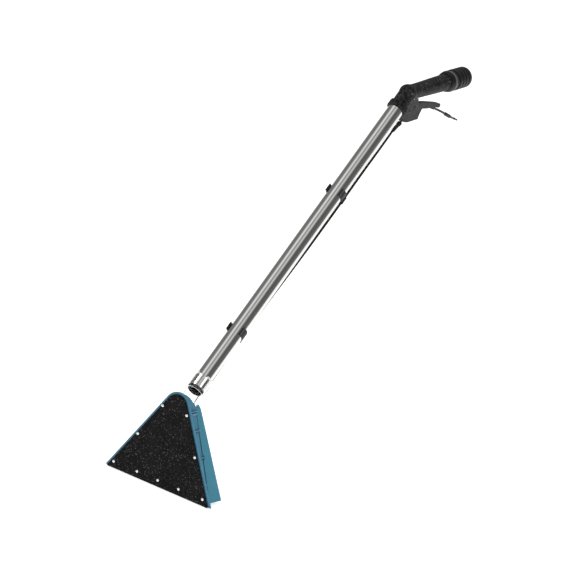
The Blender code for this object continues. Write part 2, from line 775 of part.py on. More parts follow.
def make_solution_hose():
    """The hose from the valve's outlet down the tube to the hood."""
    barb_start, barb_direction = barb_axis()
    points = [
        stub_ring(19.0, 1.0)[0],
        stub_ring(28.0, 1.0)[0],
        stub_ring(37.0, 1.0)[0],
        tube_place(TUBE_END - 71.0, 38.2, math.radians(5.0)),
        tube_place(TUBE_END - 124.0, 30.5, math.radians(16.0)),
        tube_place(TUBE_END - 184.0, HOSE_STAND_OFF + 1.4, math.radians(26.0)),
        tube_place(UPPER_CLIP + 25.0, HOSE_STAND_OFF, UPPER_TURN),
        tube_place(UPPER_CLIP - 25.0, HOSE_STAND_OFF, UPPER_TURN),
        tube_place(520.0, HOSE_STAND_OFF + 0.2, math.radians(29.0)),
        tube_place(420.0, HOSE_STAND_OFF + 0.4, math.radians(22.0)),
        tube_place(320.0, HOSE_STAND_OFF + 0.2, math.radians(14.0)),
        tube_place(LOWER_CLIP + 25.0, HOSE_STAND_OFF, LOWER_TURN),
        tube_place(LOWER_CLIP - 25.0, HOSE_STAND_OFF, LOWER_TURN),
        tube_place(130.0, HOSE_STAND_OFF + 2.6, math.radians(8.0)),
        tube_place(82.0, HOSE_STAND_OFF + 6.6, math.radians(4.0)),
        tube_place(38.0, HOSE_STAND_OFF + 12.4, 0.0),
        barb_start + barb_direction * (BARB_SEAT + 18.0) * MM,
        barb_start + barb_direction * (BARB_SEAT + 10.0) * MM,
        barb_start + barb_direction * (BARB_SEAT + 3.3) * MM,
    ]
    route = smooth_route(points, 4)
    skin = route_rings(route, HOSE_RADIUS)
    bore = route_rings(route, HOSE_BORE)
    mesh = ring_mesh(skin + bore[::-1], COARSE, hollow=True)
    add_part("solution_hose", mesh, "hose_black")


# Handle


def handle_rings(grow=0.0):
    """Outside of the handle from the nut to the sleeve's end."""
    return [
        tube_ring(NUT_START + NUT_LENGTH + GAP, LEG_RADIUS + grow),
        tube_ring(BEND_STATION - 24.0, LEG_RADIUS + 0.1 + grow),
        mitre_ring(BEND_RADIUS + grow),
        grip_ring(14.0, GRIP_RADIUS + 0.5 + grow),
        grip_ring(40.0, GRIP_RADIUS + grow),
        grip_ring(105.0, GRIP_RADIUS + 1.3 + grow),
        grip_ring(SLEEVE_START - 8.0, GRIP_END_RADIUS + grow),
        grip_ring(SLEEVE_END - 3.0, GRIP_END_RADIUS + grow),
    ]


def make_handle():
    """Handle, nut and seal at the tube, sleeve, ring and swivelling cuff."""
    thread_radius = THREAD_RADIUS
    leg_start = NUT_START + NUT_LENGTH + GAP
    socket = TUBE_RADIUS + GAP
    rings = [
        tube_ring(NUT_START + THREAD_START, thread_radius),
        tube_ring(leg_start - 2.0, thread_radius),
        *handle_rings(),
        grip_ring(SLEEVE_END - 3.0, SPIGOT_RADIUS),
        grip_ring(SPIGOT_END, SPIGOT_RADIUS),
        grip_ring(SPIGOT_END, AIR_RADIUS),
        mitre_ring(AIR_RADIUS),
        tube_ring(TUBE_END + GAP, AIR_RADIUS),
        tube_ring(TUBE_END + GAP, socket),
        tube_ring(NUT_START + THREAD_START, socket),
    ]
    add_part("handle_grip", ring_mesh(rings, FINE, hollow=True), "handle_black")

    nut_outer = [(0.0, NUT_RADIUS - 1.0), (0.9, NUT_RADIUS)]
    for start in (3.9, 8.4):
        nut_outer += [
            (start, NUT_RADIUS),
            (start + 0.8, NUT_RADIUS - 1.2),
            (start + 2.4, NUT_RADIUS - 1.2),
            (start + 3.2, NUT_RADIUS),
        ]
    nut_outer += [(NUT_LENGTH - 0.9, NUT_RADIUS - 0.1), (NUT_LENGTH, NUT_RADIUS - 1.0)]
    nut_inner = [
        (NUT_LENGTH, thread_radius + GAP),
        (THREAD_START - 2.1, thread_radius + GAP),
        (THREAD_START - 2.1, socket + 0.1),
        (0.0, socket + 0.1),
    ]
    nut_rings = [tube_ring(NUT_START + station, radius) for station, radius in nut_outer + nut_inner]
    add_part("collar_nut", ring_mesh(nut_rings, FINE, hollow=True), "handle_black")
    seal_outer = thread_radius
    seal_low = THREAD_START - 1.8
    seal_high = THREAD_START - GAP
    seal_profile = (
        (seal_low, socket + 0.2),
        (seal_low, seal_outer),
        (seal_high, seal_outer),
        (seal_high, socket + 0.2),
    )
    seal_rings = [tube_ring(NUT_START + station, radius) for station, radius in seal_profile]
    add_part("handle_seal", ring_mesh(seal_rings, FINE, hollow=True), "gasket_rubber")

    sleeve_bore = GRIP_END_RADIUS + GAP
    sleeve_profile = (
        (SLEEVE_START, sleeve_bore),
        (SLEEVE_START, sleeve_bore + 0.9),
        (SLEEVE_START + 1.5, sleeve_bore + 1.9),
        (SLEEVE_START + 6.0, CUFF_RADIUS - 1.4),
        (SLEEVE_START + 11.0, CUFF_RADIUS - 0.4),
        (SLEEVE_END - 1.0, CUFF_RADIUS - 0.2),
        (SLEEVE_END, CUFF_RADIUS - 0.8),
        (SLEEVE_END, sleeve_bore),
    )
    sleeve_rings = [grip_ring(*station) for station in sleeve_profile]
    add_part("cuff_sleeve", ring_mesh(sleeve_rings, FINE, hollow=True), "cuff_black")

    ring_start = SLEEVE_END + GAP
    ring_profile = (
        (ring_start, SPIGOT_RADIUS + GAP),
        (ring_start, CUFF_RADIUS - 0.2),
        (ring_start + 1.0, CUFF_RADIUS + 0.4),
        (ring_start + RING_LENGTH - 1.0, CUFF_RADIUS + 0.4),
        (ring_start + RING_LENGTH, CUFF_RADIUS - 0.2),
        (ring_start + RING_LENGTH, SPIGOT_RADIUS + GAP),
    )
    ring_rings = [grip_ring(*station) for station in ring_profile]
    add_part("retaining_ring", ring_mesh(ring_rings, FINE, hollow=True), "ring_grey")

    cuff_outer = [(CUFF_START, CUFF_RADIUS - 1.4), (CUFF_START + 1.0, CUFF_RADIUS - 0.4)]
    pitch = (CUFF_END - CUFF_START - 3.0 - CUFF_PLAIN) / RIB_COUNT
    for index in range(RIB_COUNT):
        start = CUFF_START + CUFF_PLAIN + index * pitch
        swell = CUFF_RADIUS + 0.2 - 0.1 * index
        cuff_outer += [
            (start + 1.5, swell - 2.0),
            (start + 3.6, swell - 2.0),
            (start + 4.6, swell),
            (start + pitch - 1.0, swell),
        ]
    cuff_outer += [(CUFF_END - 1.8, CUFF_RADIUS - 0.8), (CUFF_END, CUFF_RADIUS - 2.6)]
    cuff_inner = [
        (CUFF_END, CUFF_SOCKET_RADIUS + 0.4),
        (CUFF_END - 1.5, CUFF_SOCKET_RADIUS),
        (SPIGOT_END + 4.0, CUFF_SOCKET_RADIUS),
        (SPIGOT_END + 4.0, AIR_RADIUS),
        (SPIGOT_END + GAP, AIR_RADIUS),
        (SPIGOT_END + GAP, SPIGOT_RADIUS + RUNNING_FIT),
        (CUFF_START, SPIGOT_RADIUS + RUNNING_FIT),
    ]
    cuff_rings = [grip_ring(*station) for station in cuff_outer + cuff_inner]
    middle = grip_ring((CUFF_START + CUFF_END) / 2, 1.0)[0]
    cuff = ring_mesh(cuff_rings, FINE, hollow=True)
    add_part("hose_cuff", cuff, "cuff_black", pivot=middle)


# Trigger valve

PIVOT = (PIVOT_DEPTH, PIVOT_HEIGHT)
HEEL_DEPTH = PIVOT_DEPTH - HEEL_ARM
NOSE_HEIGHT = PLUNGER_TOP + GAP + NOSE_RADIUS
HOUSING_OUTLINE = from_bend(
    (
        (-35.44, -44.74),
        (-4.44, -66.94),
        (11.56, -68.14),
        (58.56, -61.94),
        (61.56, -49.74),
        (68.06, -37.74),
        (43.06, -24.24),
        (36.56, -6.74),
        (-11.44, -6.74),
    )
)
OUTLET_ROUTE = from_bend(((10.16, -56.74), (7.56, -58.74), (5.16, -63.74)))
INLET_ROUTE = from_bend(
    (
        (25.06, -53.24),
        (31.56, -51.74),
        (41.56, -46.74),
        (55.56, -39.74),
        (73.56, -36.34),
        (98.56, -35.54),
        (120.56, -36.54),
        (134.56, -38.54),
    )
)
INLET_START = INLET_ROUTE[-1]
INLET_DROP = math.radians(13.0)


def inlet_ring(station, radius):
    """A ring on the inlet's line, which runs back and a little down under the lever."""
    direction = Vector((0.0, math.cos(INLET_DROP), -math.sin(INLET_DROP)))
    return line_ring(at(0.0, *INLET_START), direction, station, radius)


def outlet_pipe_rings(grow=0.0):
    """Rings of the pipe from the valve's front to the outlet hose."""
    route = [at(0.0, *place) for place in OUTLET_ROUTE]
    route += [stub_ring(0.0, 1.0)[0], stub_ring(8.0, 1.0)[0]]
    rings = route_rings(smooth_route(route, 3), PIPE_RADIUS + grow)
    return [*rings, stub_ring(18.4, PIPE_RADIUS + grow)]


def inlet_pipe_rings(grow=0.0):
    """Rings of the pipe from the valve's back to the inlet nut."""
    route = [at(0.0, *place) for place in INLET_ROUTE]
    return route_rings(smooth_route(route, 3), PIPE_RADIUS + grow)


def lever_outline():
    """Side view of the lever: heel, hub and hooked finger arm."""
    nose = arc((HEEL_DEPTH, NOSE_HEIGHT), NOSE_RADIUS, math.pi / 2, math.pi * 1.5, 8)
    arm_under = [
        (HEEL_DEPTH + 3.8, NOSE_HEIGHT - 1.5),
        (HEEL_DEPTH + 5.6, NOSE_HEIGHT - 3.0),
        (PIVOT_DEPTH, PIVOT_HEIGHT - HUB_RADIUS),
        *from_bend(((42.56, -37.54), (70.56, -38.94), (98.56, -39.24))),
        *from_bend(((124.56, -38.94), (144.56, -37.94), (154.56, -39.14), (159.56, -39.14))),
    ]
    tip = arc(from_bend(((160.56, -33.94),))[0], 5.0, -math.radians(80.0), math.radians(75.0), 6)
    arm_top = from_bend(
        (
            (148.56, -27.74),
            (98.56, -24.34),
            (73.56, -23.34),
            (48.56, -24.34),
            (34.56, -24.44),
            (24.56, -26.14),
        )
    )
    return nose + arm_under + tip + arm_top


def make_lever():
    """The trigger lever: a channel that is open below, turning on its pin."""
    lever = side_prism(lever_outline(), -LEVER_HALF_WIDTH, LEVER_HALF_WIDTH)
    pivot = at(0.0, *PIVOT)
    part = add_part("trigger_lever", lever, "handle_black", pivot=pivot)
    channel_outline = from_bend(
        (
            (46.56, -52.74),
            (154.56, -52.74),
            (154.56, -31.94),
            (98.56, -27.94),
            (73.56, -26.74),
            (46.56, -27.54),
        )
    )
    inside = LEVER_HALF_WIDTH - LEVER_WALL
    channel = add_tool("lever_channel", side_prism(channel_outline, -inside, inside))
    hole = ring_mesh([cross_ring(x, *PIVOT, PIN_RADIUS + RUNNING_FIT) for x in (-20, 20)], MEDIUM)
    cut(part, channel, add_tool("pin_hole", hole))
    return bpy.data.objects["pin_hole"]


def make_housing(pin_hole):
    """Two shells under the bend that hold the valve and the lever's pin."""
    elbow_space = add_tool("elbow_space", ring_mesh(handle_rings(GAP + 0.1), FINE))
    nut_space_rings = [
        tube_ring(NUT_START - 40.0, NUT_RADIUS + GAP),
        tube_ring(NUT_START + NUT_LENGTH + GAP + 0.3, NUT_RADIUS + GAP),
    ]
    nut_space = add_tool("nut_space", ring_mesh(nut_space_rings, FINE))
    slot_half = LEVER_HALF_WIDTH + 0.6
    slot_low = (-slot_half, CORNER_DEPTH + 37.06, CORNER_HEIGHT - 39.74)
    slot_high = (slot_half, CORNER_DEPTH + 88.56, CORNER_HEIGHT - 2.74)
    lever_slot = add_tool("lever_slot", box_mesh(slot_low, slot_high))
    screw_rings = [cross_ring(x, *HOUSING_SCREW_PLACE, 1.8) for x in (-20, 20)]
    screw_hole = add_tool("housing_screw_hole", ring_mesh(screw_rings, COARSE))
    spaces = [elbow_space, nut_space, lever_slot, pin_hole, screw_hole]
    spaces.append(add_tool("outlet_space", ring_mesh(outlet_pipe_rings(GAP), COARSE)))
    spaces.append(add_tool("inlet_space", ring_mesh(inlet_pipe_rings(GAP + 0.4), COARSE)))
    for name, side in (("housing_left", -1), ("housing_right", 1)):
        near = side * GAP / 3
        shell_mesh = side_prism(HOUSING_OUTLINE, near, side * HOUSING_HALF_WIDTH)
        shell = add_part(name, shell_mesh, "handle_black")
        hollow_outline = inset(HOUSING_OUTLINE, HOUSING_WALL)
        floor = side * (HOUSING_HALF_WIDTH - HOUSING_WALL)
        hollow = side_prism(hollow_outline, -side * 1.0, floor)
        cut(shell, add_tool(f"{name}_hollow", hollow))
        boss_rings = [cross_ring(x, *HOUSING_SCREW_PLACE, 3.6) for x in (near, floor + side * 0.5)]
        join(shell, add_tool(f"{name}_boss", ring_mesh(boss_rings, COARSE)))
        cut(shell, *spaces)
        ends = (side * (HOUSING_HALF_WIDTH - 1.4), side * (HOUSING_HALF_WIDTH + 5.0))
        for place, label in ((PIVOT, "pin"), (HOUSING_SCREW_PLACE, "screw")):
            rings = [cross_ring(x, *place, 3.7) for x in ends]
            cut(shell, add_tool(f"{name}_{label}_recess", ring_mesh(rings, MEDIUM)))

    pin_half = HOUSING_HALF_WIDTH - 1.8
    pin_rings = [cross_ring(x, *PIVOT, PIN_RADIUS) for x in (-pin_half, pin_half)]
    add_part("lever_pin", ring_mesh(pin_rings, MEDIUM), "spring_steel")
    screw_profile = ((-9.8, 1.4), (9.8, 1.4), (HOUSING_HALF_WIDTH - 1.2, 1.4))
    rings = [cross_ring(x, *HOUSING_SCREW_PLACE, radius) for x, radius in screw_profile]
    rings += [
        cross_ring(HOUSING_HALF_WIDTH - 1.2, *HOUSING_SCREW_PLACE, 2.9),
        cross_ring(HOUSING_HALF_WIDTH - 0.3, *HOUSING_SCREW_PLACE, 2.6),
    ]
    add_part("housing_screw", ring_mesh(rings, COARSE), "spring_steel")


def make_valve():
    """Valve body, plunger, spring, and the pipes in and out."""
    stem_bore = PLUNGER_RADIUS + RUNNING_FIT
    body_rings = [
        upright_ring(HEEL_DEPTH, VALVE_FOOT, VALVE_RADIUS - 1.2),
        upright_ring(HEEL_DEPTH, VALVE_FOOT + 1.0, VALVE_RADIUS),
        upright_ring(HEEL_DEPTH, VALVE_TOP - 0.8, VALVE_RADIUS),
        upright_ring(HEEL_DEPTH, VALVE_TOP, VALVE_RADIUS - 0.8),
        upright_ring(HEEL_DEPTH, VALVE_TOP, stem_bore),
        upright_ring(HEEL_DEPTH, VALVE_FOOT + 3.6, stem_bore),
    ]
    add_part("valve_body", ring_mesh(body_rings, MEDIUM), "brass")
    head_foot = PLUNGER_TOP - 2.0
    plunger_rings = [
        upright_ring(HEEL_DEPTH, VALVE_FOOT + 7.6, PLUNGER_RADIUS),
        upright_ring(HEEL_DEPTH, head_foot, PLUNGER_RADIUS),
        upright_ring(HEEL_DEPTH, head_foot, 4.6),
        upright_ring(HEEL_DEPTH, PLUNGER_TOP - 0.3, 4.6),
        upright_ring(HEEL_DEPTH, PLUNGER_TOP, 4.1),
    ]
    pivot = at(0.0, HEEL_DEPTH, VALVE_TOP)
    add_part("valve_plunger", ring_mesh(plunger_rings, MEDIUM), "spring_steel", pivot=pivot)

    turns = 3.5
    steps = int(turns * 16)
    wire = 0.35
    low = VALVE_TOP + GAP + wire
    high = head_foot - GAP - wire
    coil = []
    for step in range(steps + 1):
        angle = 2 * math.pi * turns * step / steps
        x = 3.3 * math.cos(angle)
        depth = HEEL_DEPTH + 3.3 * math.sin(angle)
        coil.append(at(x, depth, low + (high - low) * step / steps))
    data = bpy.data.curves.new("valve_spring", "CURVE")
    data.dimensions = "3D"
    data.bevel_depth = wire * MM
    data.bevel_resolution = 2
    data.use_fill_caps = True
    line = data.splines.new("POLY")
    line.points.add(len(coil) - 1)
    for point, place in zip(line.points, coil):
        point.co = (*place, 1.0)
    spring = bpy.data.objects.new("valve_spring", data)
    data.materials.append(FINISHES["spring_steel"])
    WAND.objects.link(spring)

    outlet = [*outlet_pipe_rings(), stub_ring(18.5, BARB_RADIUS), stub_ring(30.0, BARB_RADIUS)]
    add_part("outlet_pipe", ring_mesh(outlet, COARSE), "brass")
    stub_profile = ((5.0, 2.8), (5.0, 5.8), (13.0, 5.8), (14.0, 5.0), (14.0, 2.8))
    stub_rings = [stub_ring(*station) for station in stub_profile]
    add_part("outlet_nut", ring_mesh(stub_rings, 6 * 2, hollow=True), "clip_black")
    ferrule_profile = (
        (16.5, HOSE_RADIUS + GAP),
        (16.5, FERRULE_RADIUS - 0.5),
        (17.2, FERRULE_RADIUS),
        (35.2, FERRULE_RADIUS),
        (36.0, FERRULE_RADIUS - 0.5),
        (36.0, HOSE_RADIUS + GAP),
    )
    ferrule_rings = [stub_ring(*station) for station in ferrule_profile]
    add_part("outlet_ferrule", ring_mesh(ferrule_rings, MEDIUM, hollow=True), "clip_black")

    add_part("inlet_pipe", ring_mesh(inlet_pipe_rings(), COARSE), "brass")
    nut_profile = (
        (GAP, 1.6),
        (GAP, 3.7),
        (1.2, 4.2),
        (14.0, 4.2),
        (17.0, 3.6),
        (17.0, 1.6),
    )
    nut_rings = [inlet_ring(*station) for station in nut_profile]
    add_part("inlet_nut", ring_mesh(nut_rings, 6 * 2), "clip_black")


INLET_TAIL = from_bend(
    ((161.56, -44.84), (178.56, -48.94), (196.56, -53.64), (213.56, -58.64))
)
TAIL_DROP = math.radians(16.0)
PLUG_DROP = math.radians(13.5)


def make_inlet_tail():
    """The short hose tail at the inlet, with its ferrule and plug."""
    places = [inlet_ring(17.0 + GAP, 1.0)[0]] + [at(0.0, *place) for place in INLET_TAIL]
    data = bpy.data.curves.new("inlet_hose", "CURVE")
    data.dimensions = "3D"
    data.bevel_depth = HOSE_RADIUS * MM
    data.bevel_resolution = 2
    data.use_fill_caps = True
    route = smooth_route(places, 2)
    line = data.splines.new("POLY")
    line.points.add(len(route) - 1)
    for point, place in zip(line.points, route):
        point.co = (*place, 1.0)
    hose = bpy.data.objects.new("inlet_hose", data)
    data.materials.append(FINISHES["hose_black"])
    WAND.objects.link(hose)

    direction = Vector((0.0, math.cos(TAIL_DROP), -math.sin(TAIL_DROP)))
    start = at(0.0, *INLET_TAIL[-1])
    ferrule_profile = (
        (2 * GAP, 3.4),
        (1.6, FERRULE_RADIUS - 0.2),
        (27.0, FERRULE_RADIUS - 0.2),
        (30.0, 3.2),
    )
    rings = [line_ring(start, direction, station, radius) for station, radius in ferrule_profile]
    add_part("inlet_ferrule", ring_mesh(rings, MEDIUM), "clip_black")

    plug_start = start + direction * 30.0 * MM
    plug_direction = Vector((0.0, math.cos(PLUG_DROP), -math.sin(PLUG_DROP)))
    plug_profile = (
        (2 * GAP, 2.4),
        (2.0, 2.7),
        (14.0, 2.7),
        (15.0, 2.0),
        (22.0, 2.0),
        (23.0, 2.8),
        (27.0, 2.8),
        (28.0, 2.1),
        (41.0, 2.1),
        (43.0, 1.4),
    )
    rings = [
        line_ring(plug_start, plug_direction, station, radius) for station, radius in plug_profile
    ]
    add_part("inlet_plug", ring_mesh(rings, MEDIUM), "screw_steel")


def main():
    """Builds the whole wand."""
    make_head()
    make_hood()
    make_neck_and_tube()
    make_clip("lower_clip", LOWER_CLIP, LOWER_TURN)
    make_clip("upper_clip", UPPER_CLIP, UPPER_TURN)
    make_solution_hose()
    make_handle()
    make_housing(make_lever())
    make_valve()
    make_inlet_tail()


main()
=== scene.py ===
"""Looks of a spray-extraction floor wand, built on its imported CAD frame.

The wand is a triangular suction head with a spray hood behind it, a clear
neck, a polished tube with a clipped hose, and a bent handle that carries a
trigger valve and a swivelling hose cuff. Round pieces are turned or lofted
anew at full detail. Shapes cut from slabs are copied from the frame, cleaned
and given soft edges.
"""

import json
import logging
import math
from dataclasses import dataclass
from enum import Enum
from typing import Optional, Sequence, Union

import bmesh
import bpy
from mathutils import Matrix, Vector


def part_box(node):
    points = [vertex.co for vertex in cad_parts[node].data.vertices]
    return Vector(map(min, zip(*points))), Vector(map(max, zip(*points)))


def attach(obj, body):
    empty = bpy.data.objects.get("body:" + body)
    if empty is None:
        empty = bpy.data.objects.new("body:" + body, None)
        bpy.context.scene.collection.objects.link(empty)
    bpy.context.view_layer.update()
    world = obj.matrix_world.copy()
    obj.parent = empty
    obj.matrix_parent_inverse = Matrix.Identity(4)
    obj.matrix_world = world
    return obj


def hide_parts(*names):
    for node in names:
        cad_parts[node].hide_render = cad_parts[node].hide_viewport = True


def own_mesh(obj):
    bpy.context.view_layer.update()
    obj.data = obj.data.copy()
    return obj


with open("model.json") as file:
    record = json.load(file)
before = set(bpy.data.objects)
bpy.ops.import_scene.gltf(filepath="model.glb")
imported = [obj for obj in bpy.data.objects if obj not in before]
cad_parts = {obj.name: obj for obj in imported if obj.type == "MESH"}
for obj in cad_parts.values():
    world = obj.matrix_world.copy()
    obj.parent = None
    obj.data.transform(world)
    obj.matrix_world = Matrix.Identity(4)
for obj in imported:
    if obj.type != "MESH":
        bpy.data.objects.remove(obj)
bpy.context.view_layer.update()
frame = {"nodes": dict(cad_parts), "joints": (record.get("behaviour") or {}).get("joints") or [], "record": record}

LOG = logging.getLogger("floor_wand")
MM = 0.001
ACROSS = Vector((1.0, 0.0, 0.0))
Profile = Sequence[tuple[float, float]]

# The tray's seams in the frame, where painted shade is laid: its foot's height,
# its back's depth there and how far the back leans with height, and the depth of
# the flange's back
TRAY_FOOT = (6.2 - 895.0) * MM
TRAY_BACK = (15.5 - 800.0) * MM
TRAY_LEAN = 25.5 / 209.8
FLANGE_BACK = (8.9 - 800.0) * MM


class Body(Enum):
    """The parts of the wand that move against each other."""

    WAND = "wand"
    TRIGGER = "trigger"
    PLUNGER = "plunger"
    CUFF = "cuff"


# Shader values


@dataclass(frozen=True)
class Signal:
    """A shader value that Python's arithmetic acts on."""

    tree: bpy.types.NodeTree
    socket: bpy.types.NodeSocket

    def _combine(self, operation: str, first: object, second: object = 0.0) -> "Signal":
        """Adds one Math node.

        Args:
            operation: the Math node's operation.
            first: its first value, a Signal or a number.
            second: its second value, a Signal or a number.

        Returns:
            The result as a Signal.
        """
        node = self.tree.nodes.new("ShaderNodeMath")
        node.operation = operation
        for socket, value in zip(node.inputs, (first, second)):
            if isinstance(value, Signal):
                self.tree.links.new(value.socket, socket)
            else:
                socket.default_value = float(value)
        return Signal(self.tree, node.outputs[0])

    def __add__(self, other: object) -> "Signal":
        """Returns self + other."""
        return self._combine("ADD", self, other)

    __radd__ = __add__

    def __sub__(self, other: object) -> "Signal":
        """Returns self - other."""
        return self._combine("SUBTRACT", self, other)

    def __rsub__(self, other: object) -> "Signal":
        """Returns other - self."""
        return self._combine("SUBTRACT", other, self)

    def __mul__(self, other: object) -> "Signal":
        """Returns self * other."""
        return self._combine("MULTIPLY", self, other)

    __rmul__ = __mul__

    def __truediv__(self, other: object) -> "Signal":
        """Returns self / other."""
        return self._combine("DIVIDE", self, other)

    def above(self, limit: float) -> "Signal":
        """Returns 1 where the value is over the limit, else 0."""
        return self._combine("GREATER_THAN", self, limit)

    def turn_from(self, other: "Signal") -> "Signal":
        """Returns the angle of the pair (other, self)."""
        return self._combine("ARCTAN2", self, other)


class Graph:
    """The nodes of one material or world."""

    def __init__(self, tree: bpy.types.NodeTree) -> None:
        """Takes the node tree to fill."""
        self.tree = tree

    def add(
        self, kind: str, settings: Optional[dict] = None, inputs: Optional[dict] = None
    ) -> bpy.types.Node:
        """Adds a node.

        Args:
            kind: the node's type.
            settings: its own options, set first. "stops" are a ramp's (place, value) pairs.
            inputs: values or Signals for its sockets, by name or index.

        Returns:
            The node.
        """
        node = self.tree.nodes.new(kind)
        for key, value in (settings or {}).items():
            if key == "stops":
                self._set_stops(node, value)
            else:
                setattr(node, key, value)
        for key, value in (inputs or {}).items():
            self.feed(node.inputs[key], value)
        return node

    def feed(self, socket: bpy.types.NodeSocket, value: object) -> None:
        """Links a Signal to a socket, or sets its value."""
        if isinstance(value, Signal):
            self.tree.links.new(value.socket, socket)
        else:
            socket.default_value = value

    def _set_stops(self, node: bpy.types.Node, stops: Profile) -> None:
        """Gives a ramp its stops of (place, value)."""
        elements = node.color_ramp.elements
        while len(elements) < len(stops):
            elements.new(1.0)
        for element, (place, value) in zip(elements, stops):
            element.position = place
            element.color = (value, value, value, 1.0)

    def out(self, node: bpy.types.Node, output: Union[int, str] = 0) -> Signal:
        """Returns one of a node's outputs as a Signal."""
        return Signal(self.tree, node.outputs[output])

    def place(self, stretch: Sequence[float] = (1.0, 1.0, 1.0), lean: float = 0.0) -> Signal:
        """Returns object coordinates, turned about X and then scaled."""
        coordinates = self.out(self.add("ShaderNodeTexCoord"), "Object")
        turned = self.add(
            "ShaderNodeMapping", inputs={"Vector": coordinates, "Rotation": (lean, 0.0, 0.0)}
        )
        inputs = {"Vector": self.out(turned), "Scale": stretch}
        scaled = self.add("ShaderNodeMapping", inputs=inputs)
        return self.out(scaled)

    def noise(self, scale: float, place: Signal, detail: float = 4.0) -> Signal:
        """Returns fractal noise between 0 and 1."""
        inputs = {"Vector": place, "Scale": scale, "Detail": detail, "Roughness": 0.55}
        return self.out(self.add("ShaderNodeTexNoise", inputs=inputs), 0)

    def cells(self, scale: float, place: Signal) -> tuple[Signal, Signal]:
        """Returns the distance to each cell's centre and a random value for each cell."""
        node = self.add("ShaderNodeTexVoronoi", inputs={"Vector": place, "Scale": scale})
        parts = self.add("ShaderNodeSeparateColor", inputs={"Color": self.out(node, "Color")})
        return self.out(node, "Distance"), self.out(parts, 0)

    def ramp(self, value: Signal, stops: Profile) -> Signal:
        """Returns the value read through a ramp."""
        return self.out(self.add("ShaderNodeValToRGB", {"stops": stops}, {"Fac": value}), 0)

    def blend(self, share: Signal, first: object, second: object) -> Signal:
        """Returns a colour between two, by share."""
        node = self.add("ShaderNodeMix", {"data_type": "RGBA"}, {0: share, 6: first, 7: second})
        return self.out(node, 2)

    def bump(self, height: Signal, distance: float, strength: float = 1.0) -> Signal:
        """Returns a normal for a height in 0 to 1 that stands for a distance in metres."""
        inputs = {"Height": height, "Distance": distance, "Strength": strength}
        return self.out(self.add("ShaderNodeBump", inputs=inputs), "Normal")


def paint(red: float, green: float, blue: float) -> tuple[float, float, float, float]:
    """Returns an opaque colour."""
    return (red, green, blue, 1.0)


# Finishes


@dataclass(frozen=True)
class Finish:
    """A surface finish. Each kind fills in its own nodes."""

    name: str

    def material(self) -> bpy.types.Material:
        """Returns the finish's material, made on first use."""
        made = bpy.data.materials.get(self.name)
        if made is None:
            made = bpy.data.materials.new(self.name)
            made.use_nodes = True
            graph = Graph(made.node_tree)
            self.dress(graph, made.node_tree.nodes["Principled BSDF"])
        return made

    def dress(self, graph: Graph, shader: bpy.types.Node) -> None:
        """Fills in the nodes of this finish."""
        raise NotImplementedError


@dataclass(frozen=True)
class SpeckledPlastic(Finish):
    """Textured black moulding with paler flecks."""

    dark: float = 0.006
    pale: float = 0.030
    fleck: float = 0.16
    grain: float = 330.0
    relief: float = 0.0005
    roughness: float = 0.62
    gloss: float = 0.22

    def dress(self, graph: Graph, shader: bpy.types.Node) -> None:
        """Mottles the black, scatters flecks, and roughens the skin."""
        place = graph.place()
        mottle = graph.ramp(graph.noise(self.grain, place, 3.0), ((0.36, 0.0), (0.66, 1.0)))
        patches = graph.ramp(graph.noise(38.0, place, 2.0), ((0.3, 0.35), (0.7, 1.0)))
        near, lot = graph.cells(self.grain * 1.3, place)
        flecks = graph.ramp(near, ((0.14, 0.9), (0.45, 0.0))) * lot.above(0.8)
        fine_near, fine_lot = graph.cells(self.grain * 3.0, place)
        fine = graph.ramp(fine_near, ((0.1, 1.0), (0.45, 0.0))) * fine_lot.above(0.75) * 0.3
        dark = paint(self.dark, self.dark, self.dark * 1.04)
        pale = paint(self.pale, self.pale, self.pale * 1.03)
        ground = graph.blend(mottle * patches, dark, pale)
        bright = paint(self.fleck, self.fleck, self.fleck)
        flecked = graph.blend(flecks * patches + fine, ground, bright)
        graph.feed(shader.inputs["Base Color"], flecked)
        graph.feed(shader.inputs["Roughness"], self.roughness + 0.22 * mottle)
        shader.inputs["Specular IOR Level"].default_value = self.gloss
        skin = graph.noise(self.grain * 2.2, place, 5.0) * 0.6 + mottle * 0.4
        graph.feed(shader.inputs["Normal"], graph.bump(skin, self.relief, 0.7))


